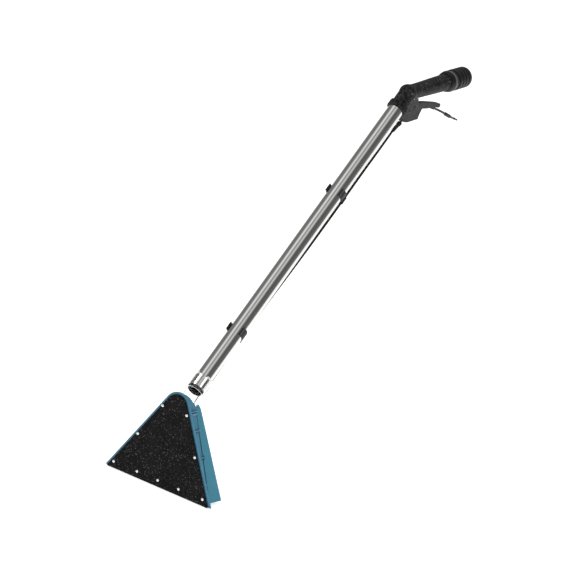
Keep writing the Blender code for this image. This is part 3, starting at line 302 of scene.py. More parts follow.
@dataclass(frozen=True)
class MouldedPlastic(Finish):
    """Smooth moulded plastic with a faint orange peel, flow marks, scuffs, and painted shade in crevices and
    seams.
    """

    colour: tuple[float, float, float] = (0.06, 0.24, 0.36)
    shade: float = 0.8
    roughness: float = 0.36
    gloss: float = 0.4
    peel: float = 420.0
    relief: float = 0.00012
    scuffs: float = 0.3
    crevice_shade: float = 0.0
    reach: float = 0.007
    seam_shade: float = 0.0

    def painted_seam_shade(self, graph: Graph, place: Signal, fine: Signal) -> Signal:
        """Returns where painted shade darkens the tray's back seam and the corner behind its flange, fading higher
        up.
        """
        parts = graph.add("ShaderNodeSeparateXYZ", inputs={"Vector": place})
        depth, height = graph.out(parts, 1), graph.out(parts, 2)
        tray_back = (height - TRAY_FOOT) * TRAY_LEAN + TRAY_BACK
        band = 0.012
        behind = (depth - tray_back) * (1.0 / band) + 0.44 + 0.12 * fine
        joint = graph.ramp(behind, ((0.3, 0.0), (0.42, 1.0), (0.56, 1.0), (0.66, 0.0)))
        faded = graph.ramp((height - TRAY_FOOT) * 5.0, ((0.55, 1.0), (0.78, 0.25)))
        corner = (depth - FLANGE_BACK) * (1.0 / band) + 0.44 + 0.12 * fine
        lip = graph.ramp(corner, ((0.47, 0.0), (0.5, 1.0), (0.6, 0.8), (0.72, 0.0)))
        return (joint * faded + lip * faded * 0.8) * self.seam_shade

    def dress(self, graph: Graph, shader: bpy.types.Node) -> None:
        """Tones the colour, paints shade into crevices and seams, scuffs the gloss, and adds the peel."""
        place = graph.place()
        flow = graph.noise(14.0, graph.place((1.0, 1.0, 0.25)), 4.0)
        flow = graph.ramp(flow, ((0.3, 0.0), (0.7, 1.0)))
        fine = graph.noise(160.0, place, 6.0)
        wear = graph.noise(70.0, graph.place((1.0, 1.0, 0.15)), 8.0)
        wear = graph.ramp(wear, ((0.62, 0.0), (0.74, 1.0)))
        deep = paint(*(channel * self.shade for channel in self.colour))
        full = paint(*self.colour)
        toned = graph.blend(flow * 0.7 + fine * 0.3, deep, full)
        scuffed = paint(*(min(1.0, channel * 1.25 + 0.03) for channel in self.colour))
        worn = graph.blend(wear * self.scuffs, toned, scuffed)
        # Painted shade: ambient occlusion darkens crevices and gaps between parts.
        if self.crevice_shade > 0.0:
            reach = {"Distance": self.reach}
            hollows = graph.add("ShaderNodeAmbientOcclusion", {"samples": 12}, reach)
            open_sky = graph.out(hollows, "AO")
            crevice_shade_mask = graph.ramp(open_sky + 0.12 * fine, ((0.55, 1.0), (0.99, 0.0))) * self.crevice_shade
            crevice_shadow_colour = paint(*(channel * 0.16 for channel in self.colour))
            worn = graph.blend(crevice_shade_mask, worn, crevice_shadow_colour)
        # Painted shade along the tray's back seam and behind its flange.
        if self.seam_shade > 0.0:
            seam_shadow_colour = paint(*(channel * 0.1 for channel in self.colour))
            worn = graph.blend(self.painted_seam_shade(graph, place, fine), worn, seam_shadow_colour)
        graph.feed(shader.inputs["Base Color"], worn)
        rubbed = self.roughness + 0.1 * fine + 0.2 * self.scuffs * wear
        graph.feed(shader.inputs["Roughness"], rubbed)
        shader.inputs["Specular IOR Level"].default_value = self.gloss
        skin = graph.noise(self.peel, place, 3.0)
        graph.feed(shader.inputs["Normal"], graph.bump(skin, self.relief, 0.5))


@dataclass(frozen=True)
class PolishedTube(Finish):
    """Mirror-polished steel with fine drawn lines along the tube."""

    lean: float = math.radians(43.8)
    colour: tuple[float, float, float] = (0.74, 0.735, 0.72)
    roughness: float = 0.075

    def dress(self, graph: Graph, shader: bpy.types.Node) -> None:
        """Draws the lines, and adds light handling marks."""
        along = graph.place((1.0, 1.0, 0.004), self.lean)
        lines = graph.noise(900.0, along, 6.0)
        handled = graph.noise(26.0, graph.place((1.0, 1.0, 0.2), self.lean), 7.0)
        marks = graph.ramp(handled, ((0.55, 0.0), (0.75, 1.0)))
        clean = paint(*self.colour)
        dull = paint(*(channel * 0.86 for channel in self.colour))
        graph.feed(shader.inputs["Base Color"], graph.blend(lines * 0.6 + marks * 0.4, clean, dull))
        graph.feed(shader.inputs["Roughness"], self.roughness + 0.05 * lines + 0.07 * marks)
        shader.inputs["Metallic"].default_value = 1.0
        graph.feed(shader.inputs["Normal"], graph.bump(lines, 0.00003, 0.25))


@dataclass(frozen=True)
class WorkedMetal(Finish):
    """Turned or rolled metal with tool marks and a little tarnish."""

    colour: tuple[float, float, float] = (0.75, 0.74, 0.72)
    tarnish: tuple[float, float, float] = (0.4, 0.38, 0.35)
    roughness: float = 0.26
    spots: float = 0.4

    def dress(self, graph: Graph, shader: bpy.types.Node) -> None:
        """Marks the metal and tarnishes it in scattered patches."""
        place = graph.place()
        stain = graph.ramp(graph.noise(210.0, place, 6.0), ((0.45, 0.0), (0.72, 1.0)))
        marks = graph.noise(1500.0, graph.place((1.0, 1.0, 0.12)), 3.0)
        metal = graph.blend(stain * self.spots, paint(*self.colour), paint(*self.tarnish))
        graph.feed(shader.inputs["Base Color"], metal)
        graph.feed(shader.inputs["Roughness"], self.roughness + 0.2 * stain + 0.08 * marks)
        shader.inputs["Metallic"].default_value = 1.0
        graph.feed(shader.inputs["Normal"], graph.bump(marks, 0.00004, 0.5))


@dataclass(frozen=True)
class ClearPlastic(Finish):
    """Water-clear plastic with hairline scratches."""

    def dress(self, graph: Graph, shader: bpy.types.Node) -> None:
        """Lets light through, and frosts it faintly in the scratches."""
        place = graph.place()
        haze = graph.noise(60.0, graph.place((1.0, 1.0, 0.1)), 8.0)
        haze = graph.ramp(haze, ((0.5, 0.0), (0.72, 1.0)))
        tint = graph.blend(haze * 0.8, paint(0.96, 0.965, 0.97), paint(0.8, 0.81, 0.82))
        graph.feed(shader.inputs["Base Color"], tint)
        graph.feed(shader.inputs["Roughness"], 0.12 + 0.1 * haze)
        shader.inputs["Transmission Weight"].default_value = 1.0
        shader.inputs["IOR"].default_value = 1.12
        graph.feed(shader.inputs["Normal"], graph.bump(graph.noise(90.0, place, 2.0), 0.0001, 0.3))


@dataclass(frozen=True)
class Rubber(Finish):
    """Matt black rubber with a bloom on it."""

    black: float = 0.012
    bloom: float = 0.035
    roughness: float = 0.6

    def dress(self, graph: Graph, shader: bpy.types.Node) -> None:
        """Blooms and dimples the rubber."""
        place = graph.place()
        dust = graph.ramp(graph.noise(95.0, place, 6.0), ((0.4, 0.0), (0.7, 1.0)))
        grain = graph.noise(1100.0, place, 3.0)
        black = paint(self.black, self.black, self.black)
        graph.feed(
            shader.inputs["Base Color"],
            graph.blend(dust * 0.7 + grain * 0.2, black, paint(self.bloom, self.bloom, self.bloom)),
        )
        graph.feed(shader.inputs["Roughness"], self.roughness + 0.2 * dust)
        shader.inputs["Specular IOR Level"].default_value = 0.25
        graph.feed(shader.inputs["Normal"], graph.bump(grain, 0.00008, 0.5))


FINISHES: dict[str, Finish] = {
    "plate_black": SpeckledPlastic(
        "plate_black_speckled", 0.0015, 0.016, 0.2, 300.0, 0.0004, 0.66, 0.08
    ),
    "screw_steel": WorkedMetal(
        "screw_bright_steel", (0.86, 0.855, 0.84), (0.6, 0.59, 0.57), 0.24, 0.3
    ),
    "gasket_rubber": Rubber("gasket_rubber_matt"),
    "head_blue": MouldedPlastic(
        "head_blue_moulded",
        (0.055, 0.24, 0.37),
        0.72,
        0.3,
        0.45,
        crevice_shade=0.95,
        reach=0.014,
        seam_shade=0.95,
    ),
    "hood_blue": MouldedPlastic(
        "hood_blue_moulded", (0.043, 0.23, 0.33), 0.86, 0.38, 0.35, crevice_shade=0.7, reach=0.009, seam_shade=0.8
    ),
    "lip_steel": WorkedMetal("lip_worn_steel", (0.62, 0.61, 0.6), (0.3, 0.27, 0.24), 0.3, 0.7),
    "brass": WorkedMetal("brass_turned", (0.76, 0.56, 0.27), (0.36, 0.24, 0.12), 0.24, 0.6),
    "clear_plastic": ClearPlastic("clear_plastic_neck"),
    "polished_steel": PolishedTube("polished_steel_tube"),
    "clip_black": MouldedPlastic(
        "clip_black_moulded", (0.022, 0.022, 0.023), 0.6, 0.42, 0.3, 700.0, 0.0001, 0.5
    ),
    "hose_black": Rubber("hose_black_rubber", 0.008, 0.026, 0.5),
    "handle_black": SpeckledPlastic(
        "handle_black_textured", 0.001, 0.042, 0.15, 165.0, 0.0007, 0.46, 0.12
    ),
    "cuff_black": SpeckledPlastic(
        "cuff_black_textured", 0.003, 0.018, 0.05, 330.0, 0.0002, 0.36, 0.22
    ),
    "ring_grey": MouldedPlastic("ring_grey_moulded", (0.11, 0.11, 0.112), 0.7, 0.45, 0.35, 500.0),
    "spring_steel": WorkedMetal(
        "spring_dark_steel", (0.06, 0.06, 0.062), (0.03, 0.028, 0.026), 0.4, 0.6
    ),
}
NECK_SEAL = Rubber("neck_seal_grey", 0.05, 0.13, 0.5)
HOUSING = SpeckledPlastic("housing_black_textured", 0.006, 0.055, 0.16, 260.0, 0.0003, 0.5, 0.3)
SLOT_OF = {part["node"]: part["material_slot"] for part in frame["record"]["subparts"]}


# Shapes


@dataclass(frozen=True)
class Axis:
    """A line that round pieces are built on, with stations in millimetres."""

    start: Vector
    direction: Vector

    @classmethod
    def through(cls, near: Vector, far: Vector, station: float) -> "Axis":
        """Returns the axis through two points, the near one at a known station."""
        direction = (far - near).normalized()
        return cls(near - direction * station * MM, direction)

    @property
    def side(self) -> Vector:
        """A direction square to the axis."""
        square = ACROSS if abs(self.direction.x) < 0.9 else Vector((0.0, 1.0, 0.0))
        return (square - self.direction * square.dot(self.direction)).normalized()

    @property
    def under(self) -> Vector:
        """The direction square to the axis and to its side, on its underside."""
        return self.side.cross(self.direction) * -1.0

    def place(self, station: float, off: float = 0.0, turn: float = 0.0) -> Vector:
        """Returns a point by the axis.

        Args:
            station: distance along the axis in millimetres.
            off: distance from the axis in millimetres.
            turn: angle round the axis, from its underside towards +X.

        Returns:
            The point in the frame.
        """
        around = self.under * math.cos(turn) + self.side * math.sin(turn)
        return self.start + self.direction * station * MM + around * off * MM

    def ring(self, station: float, radius: float) -> Matrix:
        """Returns the matrix that makes a unit circle a ring square to the axis."""
        return ring_matrix(self.place(station), self.direction, radius)


def ring_matrix(centre: Vector, direction: Vector, radius: float, stretch: float = 1.0) -> Matrix:
    """Returns the matrix that makes a unit circle a ring.

    Args:
        centre: the ring's middle.
        direction: what it is square to.
        radius: its radius in millimetres.
        stretch: how much longer it is away from X.

    Returns:
        The matrix.
    """
    side = ACROSS - direction * ACROSS.dot(direction)
    side.normalize()
    turned = Matrix((side, direction.cross(side), direction)).transposed().to_4x4()
    size = Matrix.Diagonal((radius * MM, radius * stretch * MM, MM, 1.0))
    return Matrix.Translation(centre) @ turned @ size


def tidy(mesh: bmesh.types.BMesh) -> None:
    """Merges doubles and turns every face outwards."""
    bmesh.ops.remove_doubles(mesh, verts=mesh.verts, dist=1e-6)
    bmesh.ops.recalc_face_normals(mesh, faces=mesh.faces)


def soften(
    mesh: bmesh.types.BMesh, radius: float, sharp: float = 32.0, segments: int = 2
) -> bmesh.types.BMesh:
    """Rounds the edges that are sharper than an angle.

    Args:
        mesh: the mesh to change.
        radius: the rounding in millimetres.
        sharp: the angle in degrees.
        segments: how many faces cross each rounded edge.

    Returns:
        The same mesh.
    """
    limit = math.radians(sharp)
    edges = [edge for edge in mesh.edges if edge.is_manifold and edge.calc_face_angle() > limit]
    bmesh.ops.bevel(
        mesh,
        geom=edges,
        offset=radius * MM,
        offset_type="OFFSET",
        segments=segments,
        profile=0.5,
        affect="EDGES",
        clamp_overlap=True,
        material=-1,
    )
    return mesh


def turned(
    axis: Axis, profile: Profile, sides: int = 96, hollow: bool = False
) -> bmesh.types.BMesh:
    """Spins a profile round an axis.

    Args:
        axis: the axis.
        profile: (station, radius) pairs in millimetres.
        sides: faces round it.
        hollow: joins the profile's last point to its first, else both ends close on the axis.

    Returns:
        The closed mesh.
    """
    mesh = bmesh.new()
    line = list(profile)
    if not hollow:
        line = [(line[0][0], 0.0), *line, (line[-1][0], 0.0)]
    points = [mesh.verts.new(axis.place(station) + axis.side * off * MM) for station, off in line]
    pairs = list(zip(points, points[1:]))
    if hollow:
        pairs.append((points[-1], points[0]))
    edges = [mesh.edges.new(pair) for pair in pairs]
    bmesh.ops.spin(
        mesh,
        geom=points + edges,
        cent=axis.start,
        axis=axis.direction,
        angle=2.0 * math.pi,
        steps=sides,
        use_merge=True,
        use_duplicate=False,
    )
    tidy(mesh)
    return mesh


def groove(start: float, width: float, slope: float, outside: float, floor: float) -> Profile:
    """Returns one groove of a turned profile.

    Args:
        start: the station where it begins, in millimetres.
        width: how wide it is at its mouth.
        slope: how wide each sloping side is.
        outside: the radius beside it.
        floor: the radius at its bottom.

    Returns:
        Four (station, radius) pairs.
    """
    return [
        (start, outside),
        (start + slope, floor),
        (start + width - slope, floor),
        (start + width, outside),
    ]


def lofted(rings: Sequence[Matrix], sides: int, hollow: bool = False) -> bmesh.types.BMesh:
    """Extrudes a circle through a row of rings.

    Args:
        rings: their matrices.
        sides: faces round it.
        hollow: closes the last ring on the first, else both ends are capped.

    Returns:
        The closed mesh.
    """
    mesh = bmesh.new()
    first = bmesh.ops.create_circle(mesh, segments=sides, radius=1.0, matrix=rings[0])["verts"]
    edges = list({edge for vert in first for edge in vert.link_edges})
    start_edges = edges
    course = [*rings[1:], rings[0]] if hollow else list(rings[1:])
    before = rings[0]
    for ring in course:
        grown = bmesh.ops.extrude_edge_only(mesh, edges=edges)["geom"]
        verts = [item for item in grown if isinstance(item, bmesh.types.BMVert)]
        edges = [item for item in grown if isinstance(item, bmesh.types.BMEdge)]
        bmesh.ops.transform(mesh, matrix=ring @ before.inverted(), verts=verts)
        before = ring
    if not hollow:
        bmesh.ops.contextual_create(mesh, geom=start_edges)
        bmesh.ops.contextual_create(mesh, geom=edges)
    tidy(mesh)
    return mesh


def refined(node: str, radius: float, sharp: float = 32.0) -> bmesh.types.BMesh:
    """Copies a CAD node's shape with clean faces and soft edges.

    Args:
        node: the CAD node.
        radius: the rounding of its edges in millimetres.
        sharp: how sharp an edge is rounded, in degrees.

    Returns:
        The mesh.
    """
    mesh = bmesh.new()
    mesh.from_mesh(frame["nodes"][node].data)
    bmesh.ops.remove_doubles(mesh, verts=mesh.verts, dist=2e-6)
    bmesh.ops.dissolve_limit(
        mesh,
        angle_limit=math.radians(0.6),
        verts=mesh.verts,
        edges=mesh.edges,
        use_dissolve_boundaries=False,
    )
    bmesh.ops.recalc_face_normals(mesh, faces=mesh.faces)
    return soften(mesh, radius, sharp)


def smooth_route(points: Sequence[Vector], steps: int) -> list[Vector]:
    """Returns a Catmull-Rom curve through the points, with steps to each span."""
    ends = [points[0] * 2 - points[1], *points, points[-1] * 2 - points[-2]]
    route = []
    for index in range(1, len(ends) - 2):
        a, b, c, d = ends[index - 1 : index + 3]
        for step in range(steps):
            t = step / steps
            bend = (a * 2 - b * 5 + c * 4 - d) * t * t + (b * 3 - a - c * 3 + d) * t**3
            route.append(((b * 2) + (c - a) * t + bend) / 2)
    route.append(points[-1].copy())
    return route


def route_rings(route: Sequence[Vector], radius: float) -> list[Matrix]:
    """Returns rings along a route, each square to its course there."""
    rings = []
    for index, centre in enumerate(route):
        course = route[min(index + 1, len(route) - 1)] - route[max(index - 1, 0)]
        rings.append(ring_matrix(centre, course.normalized(), radius))
    return rings


def middle(node: str) -> Vector:
    """Returns the middle of a CAD node's box."""
    low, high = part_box(node)
    return (low + high) / 2


def stand_in(
    name: str,
    node: str,
    mesh: bmesh.types.BMesh,
    body: Body = Body.WAND,
    finish: Optional[Finish] = None,
) -> bpy.types.Object:
    """Makes a finished piece that replaces one CAD node and rides on a body.

    Args:
        name: the piece's name.
        node: the CAD node, whose material slot the piece keeps.
        mesh: its mesh, which is freed.
        body: what it moves with.
        finish: its finish, if it isn't the slot's usual one.

    Returns:
        The object.
    """
    slot = SLOT_OF[node]
    data = bpy.data.meshes.new(name)
    mesh.to_mesh(data)
    mesh.free()
    data.shade_smooth()
    data.set_sharp_from_angle(angle=math.radians(42.0))
    data.materials.append((finish or FINISHES[slot]).material())
    piece = bpy.data.objects.new(name, data)
    bpy.context.scene.collection.objects.link(piece)
    weigh = piece.modifiers.new("even shading", "WEIGHTED_NORMAL")
    weigh.keep_sharp = True
    weigh.weight = 80
    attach(piece, body.value)
    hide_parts(node)
    LOG.info("%s: %d faces on %s", name, len(data.polygons), body.value)
    return piece


def carved(mesh: bmesh.types.BMesh, tool: bmesh.types.BMesh) -> bmesh.types.BMesh:
    """Returns the mesh with the tool's shape cut from it. Both are freed."""
    objects = []
    for name, shape in (("carved shape", mesh), ("carving tool", tool)):
        data = bpy.data.meshes.new(name)
        shape.to_mesh(data)
        shape.free()
        objects.append(bpy.data.objects.new(name, data))
        bpy.context.scene.collection.objects.link(objects[-1])
    modifier = objects[0].modifiers.new("carve", "BOOLEAN")
    modifier.operation = "DIFFERENCE"
    modifier.solver = "EXACT"
    modifier.object = objects[1]
    result = bmesh.new()
    result.from_object(objects[0], bpy.context.evaluated_depsgraph_get())
    for obj in objects:
        bpy.data.objects.remove(obj, do_unlink=True)
    return result


# Sub-assemblies


@dataclass
class SuctionHead:
    """The plate, the moulded tray behind it, its lips and its screws."""

    plate_edge: float = 0.5
    body_edge: float = 0.7
    lip_edge: float = 0.45
    screw_radius: float = 3.3
    screw_count: int = 9

    def build(self) -> None:
        """Builds every piece of the head."""
        stand_in("face_plate", "front_plate", refined("front_plate", self.plate_edge))
        stand_in("face_gasket", "plate_gasket", refined("plate_gasket", 0.15))
        stand_in("tray_moulding", "head_body", refined("head_body", self.body_edge, 28.0))
        for node, name in (("front_lip", "front_glide"), ("rear_lip", "rear_glide")):
            stand_in(name, node, refined(node, self.lip_edge))
        for index in range(1, self.screw_count + 1):
            self.add_screw(index)

    def add_screw(self, index: int) -> None:
        """Turns one pan-head screw and cuts its crossed recess."""
        node = f"plate_screw_{index}"
        low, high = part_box(node)
        tip = Vector((middle(node).x, low.y, middle(node).z))
        axis = Axis(tip, Vector((0.0, 1.0, 0.0)))
        length = (high.y - low.y) / MM
        head = self.screw_radius
        dome = [(0.0, 0.9), (0.08, head * 0.55), (0.34, head * 0.8), (0.85, head * 0.97)]
        shank = [(1.2, head), (1.72, head), (1.75, 1.5), (length - 1.4, 1.5), (length, 0.6)]
        screw = turned(axis, dome + shank, 40)
        for turn in (0.0, math.pi / 2):
            screw = carved(screw, self.recess(tip, turn))
        stand_in(f"face_screw_{index}", node, screw)

    def recess(self, tip: Vector, turn: float) -> bmesh.types.BMesh:
        """Returns one tapering bar of the cross that a screwdriver fits."""
        tool = bmesh.new()
        size = Matrix.Diagonal((3.5 * MM, 2.0 * MM, 0.75 * MM, 1.0))
        place = Matrix.Translation(tip) @ Matrix.Rotation(turn, 4, "Y") @ size
        bar = bmesh.ops.create_cube(tool, size=1.0, matrix=place)["verts"]
        deep = [vert for vert in bar if vert.co.y > tip.y]
        centre = Matrix.Translation(tip)
        shrink = centre @ Matrix.Diagonal((0.55, 1.0, 0.55, 1.0)) @ centre.inverted()
        bmesh.ops.transform(tool, matrix=shrink, verts=deep)
        return tool


@dataclass
class SprayHood:
    """The hood behind the tray, with the jets and their feed inside it."""

    edge: float = 0.8

    def build(self) -> None:
        """Builds the hood, its manifold, jets and barb."""
        stand_in("rear_hood", "spray_hood", refined("spray_hood", self.edge, 28.0))
        for name, node, edge in (
            ("feed_manifold", "jet_manifold", 0.3),
            ("fan_jet_left", "spray_jet_left", 0.2),
            ("fan_jet_right", "spray_jet_right", 0.2),
            ("feed_barb", "hose_barb", 0.2),
        ):
            stand_in(name, node, refined(node, edge, 40.0))


@dataclass
class NeckAndTube:
    """The clear neck, its seal and the polished tube."""

    axis: Axis
    radius: float = 19.0
    wall: float = 1.2
    start: float = 42.5
    end: float = 914.0
    bore: float = 17.0
    neck: float = 24.0
    gap: float = 0.3

    def build(self) -> None:
        """Builds the neck, the seal and the tube."""
        stand_in("clear_neck_moulding", "clear_neck", self.neck_mesh())
        stand_in("neck_o_seal", "tube_seal", self.seal_mesh(), finish=NECK_SEAL)
        stand_in("polished_tube", "wand_tube", self.tube_mesh())

    def neck_mesh(self) -> bmesh.types.BMesh:
        """Returns the clear neck: a foot flange, a barrel and a rolled rim."""
        shoulder = self.start - 2 * self.gap - 8.0
        outer = [
            (1.3, 23.5),
            (4.0, 23.5),
            (5.6, 22.6),
            (12.0, 22.9),
            (shoulder + 4.0, 23.5),
            (66.0, 23.7),
            (67.4, self.neck + 0.3),
            (68.6, self.neck + 0.6),
            (71.8, self.neck + 0.6),
            (72.7, self.neck),
        ]
        socket = self.radius + self.gap
        inner = [(72.7, socket + 0.2), (shoulder, socket), (shoulder, self.bore), (1.3, self.bore)]
        return soften(turned(self.axis, outer + inner, 128, hollow=True), 0.35, 24.0, 3)

    def seal_mesh(self) -> bmesh.types.BMesh:
        """Returns the black seal under the tube's end, with two lips."""
        low = self.start - self.gap - 8.0
        outer = [(low, self.radius - 0.6)]
        for index in range(2):
            first = low + 0.6 + index * 3.7
            outer += [(first, self.radius), (first + 2.2, self.radius)]
            outer += [(first + 2.9, self.radius - 0.7)]
        outer += [(low + 8.0, self.radius - 0.2)]
        inner = [(low + 8.0, self.bore - 0.5), (low, self.bore - 0.5)]
        return soften(turned(self.axis, outer + inner, 96, hollow=True), 0.2, 30.0)

    def tube_mesh(self) -> bmesh.types.BMesh:
        """Returns the tube with eased ends."""
        inner = self.radius - self.wall
        profile = [
            (self.start, self.radius - 0.35),
            (self.start + 0.4, self.radius),
            (self.end - 0.4, self.radius),
            (self.end, self.radius - 0.35),
            (self.end, inner),
            (self.start, inner),
        ]
        return turned(self.axis, profile, 160, hollow=True)


@dataclass
class HoseRun:
    """The hose down the tube and the clips that hold it."""

    axis: Axis
    barb: Axis
    outlet: Axis
    radius: float = 2.75
    bore: float = 1.6
    stand_off: float = 24.6
    lower_clip: float = 210.6
    upper_clip: float = 635.2

    def build(self) -> None:
        """Builds the hose and both clips."""
        route = smooth_route(self.course(), 10)
        rings = route_rings(route, self.radius) + route_rings(route, self.bore)[::-1]
        stand_in("feed_hose", "solution_hose", lofted(rings, 24, hollow=True))
        for node, name in (("lower_clip", "clip_low"), ("upper_clip", "clip_high")):
            stand_in(name, node, refined(node, 0.4, 34.0))

    def course(self) -> list[Vector]:
        """Returns the points that the hose passes, from the valve to the hood."""
        low = math.radians(11.0)
        high = math.radians(32.0)
        off = self.stand_off
        return [
            *(self.outlet.place(station) for station in (19.0, 28.0, 37.0)),
            self.axis.place(843.0, 38.2, math.radians(5.0)),
            self.axis.place(790.0, 30.5, math.radians(16.0)),
            self.axis.place(730.0, off + 1.4, math.radians(26.0)),
            self.axis.place(self.upper_clip + 25.0, off, high),
            self.axis.place(self.upper_clip - 25.0, off, high),
            self.axis.place(520.0, off + 0.2, math.radians(29.0)),
            self.axis.place(420.0, off + 0.4, math.radians(22.0)),
            self.axis.place(320.0, off + 0.2, math.radians(14.0)),
            self.axis.place(self.lower_clip + 25.0, off, low),
            self.axis.place(self.lower_clip - 25.0, off, low),
            self.axis.place(130.0, off + 2.6, math.radians(8.0)),
            self.axis.place(82.0, off + 6.6, math.radians(4.0)),
            self.axis.place(38.0, off + 12.4, 0.0),
            *(self.barb.place(station) for station in (39.6, 31.6, 24.9)),
        ]


@dataclass
class Handle:
    """The bent handle, its nut and seal, and the swivelling cuff at its end."""

    tube: Axis
    grip: Axis
    bend: float = 955.5
    tube_end: float = 914.0
    nut_start: float = 901.3
    nut_length: float = 15.7
    nut_radius: float = 23.9
    thread: float = 21.0
    thread_start: float = 5.3
    socket: float = 19.3
    air: float = 15.4
    leg: float = 19.6
    spigot: float = 17.4
    spigot_end: float = 223.0
    grip_end: float = 20.2
    sleeve_start: float = 170.0
    sleeve_end: float = 184.0
    cuff_radius: float = 25.4
    cuff_start: float = 191.1
    cuff_plain: float = 12.0
    cuff_end: float = 262.0
    corner: float = 8.0
    knuckle: float = 1.5

    def build(self) -> None:
        """Builds the handle and what turns on it."""
        stand_in("bent_handle", "handle_grip", self.handle_mesh())
        stand_in("ribbed_nut", "collar_nut", self.nut_mesh())
        stand_in("nut_seal", "handle_seal", refined("handle_seal", 0.15))
        stand_in("grip_sleeve", "cuff_sleeve", self.sleeve_mesh())
        stand_in("grey_ring", "retaining_ring", self.ring_mesh())
        stand_in("swivel_cuff", "hose_cuff", self.cuff_mesh(), Body.CUFF)

    def bend_rings(self, radius: float, corner: float) -> list[Matrix]:
        """Returns rings that carry a round bar smoothly round the bend.

        Args:
            radius: the bar's radius in millimetres.
            corner: how far from the bend the curve starts, in millimetres.

        Returns:
            The rings, from the tube's side to the grip's.
        """
        whole = self.tube.direction.angle(self.grip.direction)
        arm = corner / math.tan(whole / 2)
        first = self.tube.place(self.bend - corner)
        inward = (self.grip.direction - self.tube.direction * math.cos(whole)).normalized()
        pivot = first + inward * arm * MM
        rings = []
        for step in range(9):
            angle = whole * step / 8
            spoke = (inward * -math.cos(angle) + self.tube.direction * math.sin(angle)) * arm * MM
            course = self.tube.direction * math.cos(angle) + inward * math.sin(angle)
            outward = self.knuckle * math.sin(math.pi * step / 8)
            centre = pivot + spoke + spoke.normalized() * outward * MM
            rings.append(ring_matrix(centre, course, radius + outward))
        return rings

    def handle_mesh(self) -> bmesh.types.BMesh:
        """Returns the hollow handle: thread, leg, bend, grip and spigot."""
        foot = self.nut_start + self.thread_start
        leg = self.nut_start + self.nut_length + 0.3
        rings = [
            self.tube.ring(foot, self.thread - 0.5),
            self.tube.ring(foot + 0.6, self.thread),
            self.tube.ring(leg - 2.0, self.thread),
            self.tube.ring(leg, self.leg),
            self.tube.ring(self.bend - 24.0, self.leg + 0.1),
            self.tube.ring(self.bend - 15.0, self.leg + 0.2),
            *self.bend_rings(self.leg + 0.1, self.corner),
            self.grip.ring(14.0, 18.5),
            self.grip.ring(26.0, 18.1),
            self.grip.ring(40.0, 18.0),
            self.grip.ring(72.0, 18.5),
            self.grip.ring(105.0, 19.3),
            self.grip.ring(135.0, 19.8),
            self.grip.ring(self.sleeve_start - 8.0, self.grip_end),
            self.grip.ring(self.sleeve_end - 3.4, self.grip_end),
            self.grip.ring(self.sleeve_end - 3.0, self.grip_end - 0.4),
            self.grip.ring(self.sleeve_end - 3.0, self.spigot),
            self.grip.ring(self.spigot_end, self.spigot),
            self.grip.ring(self.spigot_end, self.air),
            *self.bend_rings(self.air, self.corner)[::-1],
            self.tube.ring(self.tube_end + 0.3, self.air),
            self.tube.ring(self.tube_end + 0.3, self.socket),
            self.tube.ring(foot, self.socket),
        ]
        return lofted(rings, 112, hollow=True)

    def nut_mesh(self) -> bmesh.types.BMesh:
        """Returns the ribbed nut that clamps the handle to the tube."""
        outside = self.nut_radius
        profile = [(0.0, outside - 1.0), (0.9, outside)]
        for first in (3.9, 8.4):
            profile += groove(first, 3.2, 0.7, outside, outside - 1.5)
        end = self.nut_length
        lip = self.thread_start - 2.1
        profile += [(end - 0.9, outside - 0.1), (end, outside - 1.0), (end, self.thread + 0.3)]
        profile += [(lip, self.thread + 0.3), (lip, self.socket + 0.1), (0.0, self.socket + 0.1)]
        stations = [(self.nut_start + station, radius) for station, radius in profile]
        return soften(turned(self.tube, stations, 128, hollow=True), 0.25, 28.0)

    def sleeve_mesh(self) -> bmesh.types.BMesh:
        """Returns the flared sleeve behind the grip."""
        bore = self.grip_end + 0.3
        low = self.sleeve_start
        high = self.sleeve_end
        outside = self.cuff_radius
        profile = [
            (low, bore),
            (low, bore + 0.8),
            (low + 0.6, bore + 1.5),
            (low + 1.5, bore + 1.9),
            (low + 3.6, outside - 2.1),
            (low + 6.0, outside - 1.4),
            (low + 8.5, outside - 0.8),
            (low + 11.0, outside - 0.4),
            (high - 1.0, outside - 0.2),
            (high, outside - 0.8),
            (high, bore),
        ]
        return soften(turned(self.grip, profile, 128, hollow=True), 0.25, 34.0)

    def ring_mesh(self) -> bmesh.types.BMesh:
        """Returns the grey ring between sleeve and cuff."""
        low = self.sleeve_end + 0.3
        high = low + 6.5
        bore = self.spigot + 0.3
        outside = self.cuff_radius
        profile = [
            (low, bore),
            (low, outside - 0.2),
            (low + 1.0, outside + 0.4),
            (high - 1.0, outside + 0.4),
            (high, outside - 0.2),
            (high, bore),
        ]
        return soften(turned(self.grip, profile, 128, hollow=True), 0.3, 28.0)

    def cuff_mesh(self) -> bmesh.types.BMesh:
        """Returns the cuff: four ribs outside, and the hose's socket inside."""
        outside = self.cuff_radius
        profile = [(self.cuff_start, outside - 1.4), (self.cuff_start + 1.0, outside - 0.4)]
        pitch = (self.cuff_end - self.cuff_start - 3.0 - self.cuff_plain) / 4
        for index in range(4):
            first = self.cuff_start + self.cuff_plain + index * pitch
            swell = outside + 0.2 - 0.1 * index
            profile += [
                (first + 1.2, swell - 2.4),
                (first + 3.6, swell - 2.4),
                (first + 4.5, swell),
                (first + pitch - 1.0, swell),
            ]
        profile += [
            (self.cuff_end - 1.8, outside - 0.8),
            (self.cuff_end - 0.6, outside - 1.7),
            (self.cuff_end, outside - 2.6),
            (self.cuff_end, 19.8),
            (self.cuff_end - 1.5, 19.4),
            (self.spigot_end + 4.0, 19.4),
            (self.spigot_end + 4.0, self.air),
            (self.spigot_end + 0.3, self.air),
            (self.spigot_end + 0.3, self.spigot + 0.08),
            (self.cuff_start, self.spigot + 0.08),
        ]
        return soften(turned(self.grip, profile, 128, hollow=True), 0.35, 28.0)


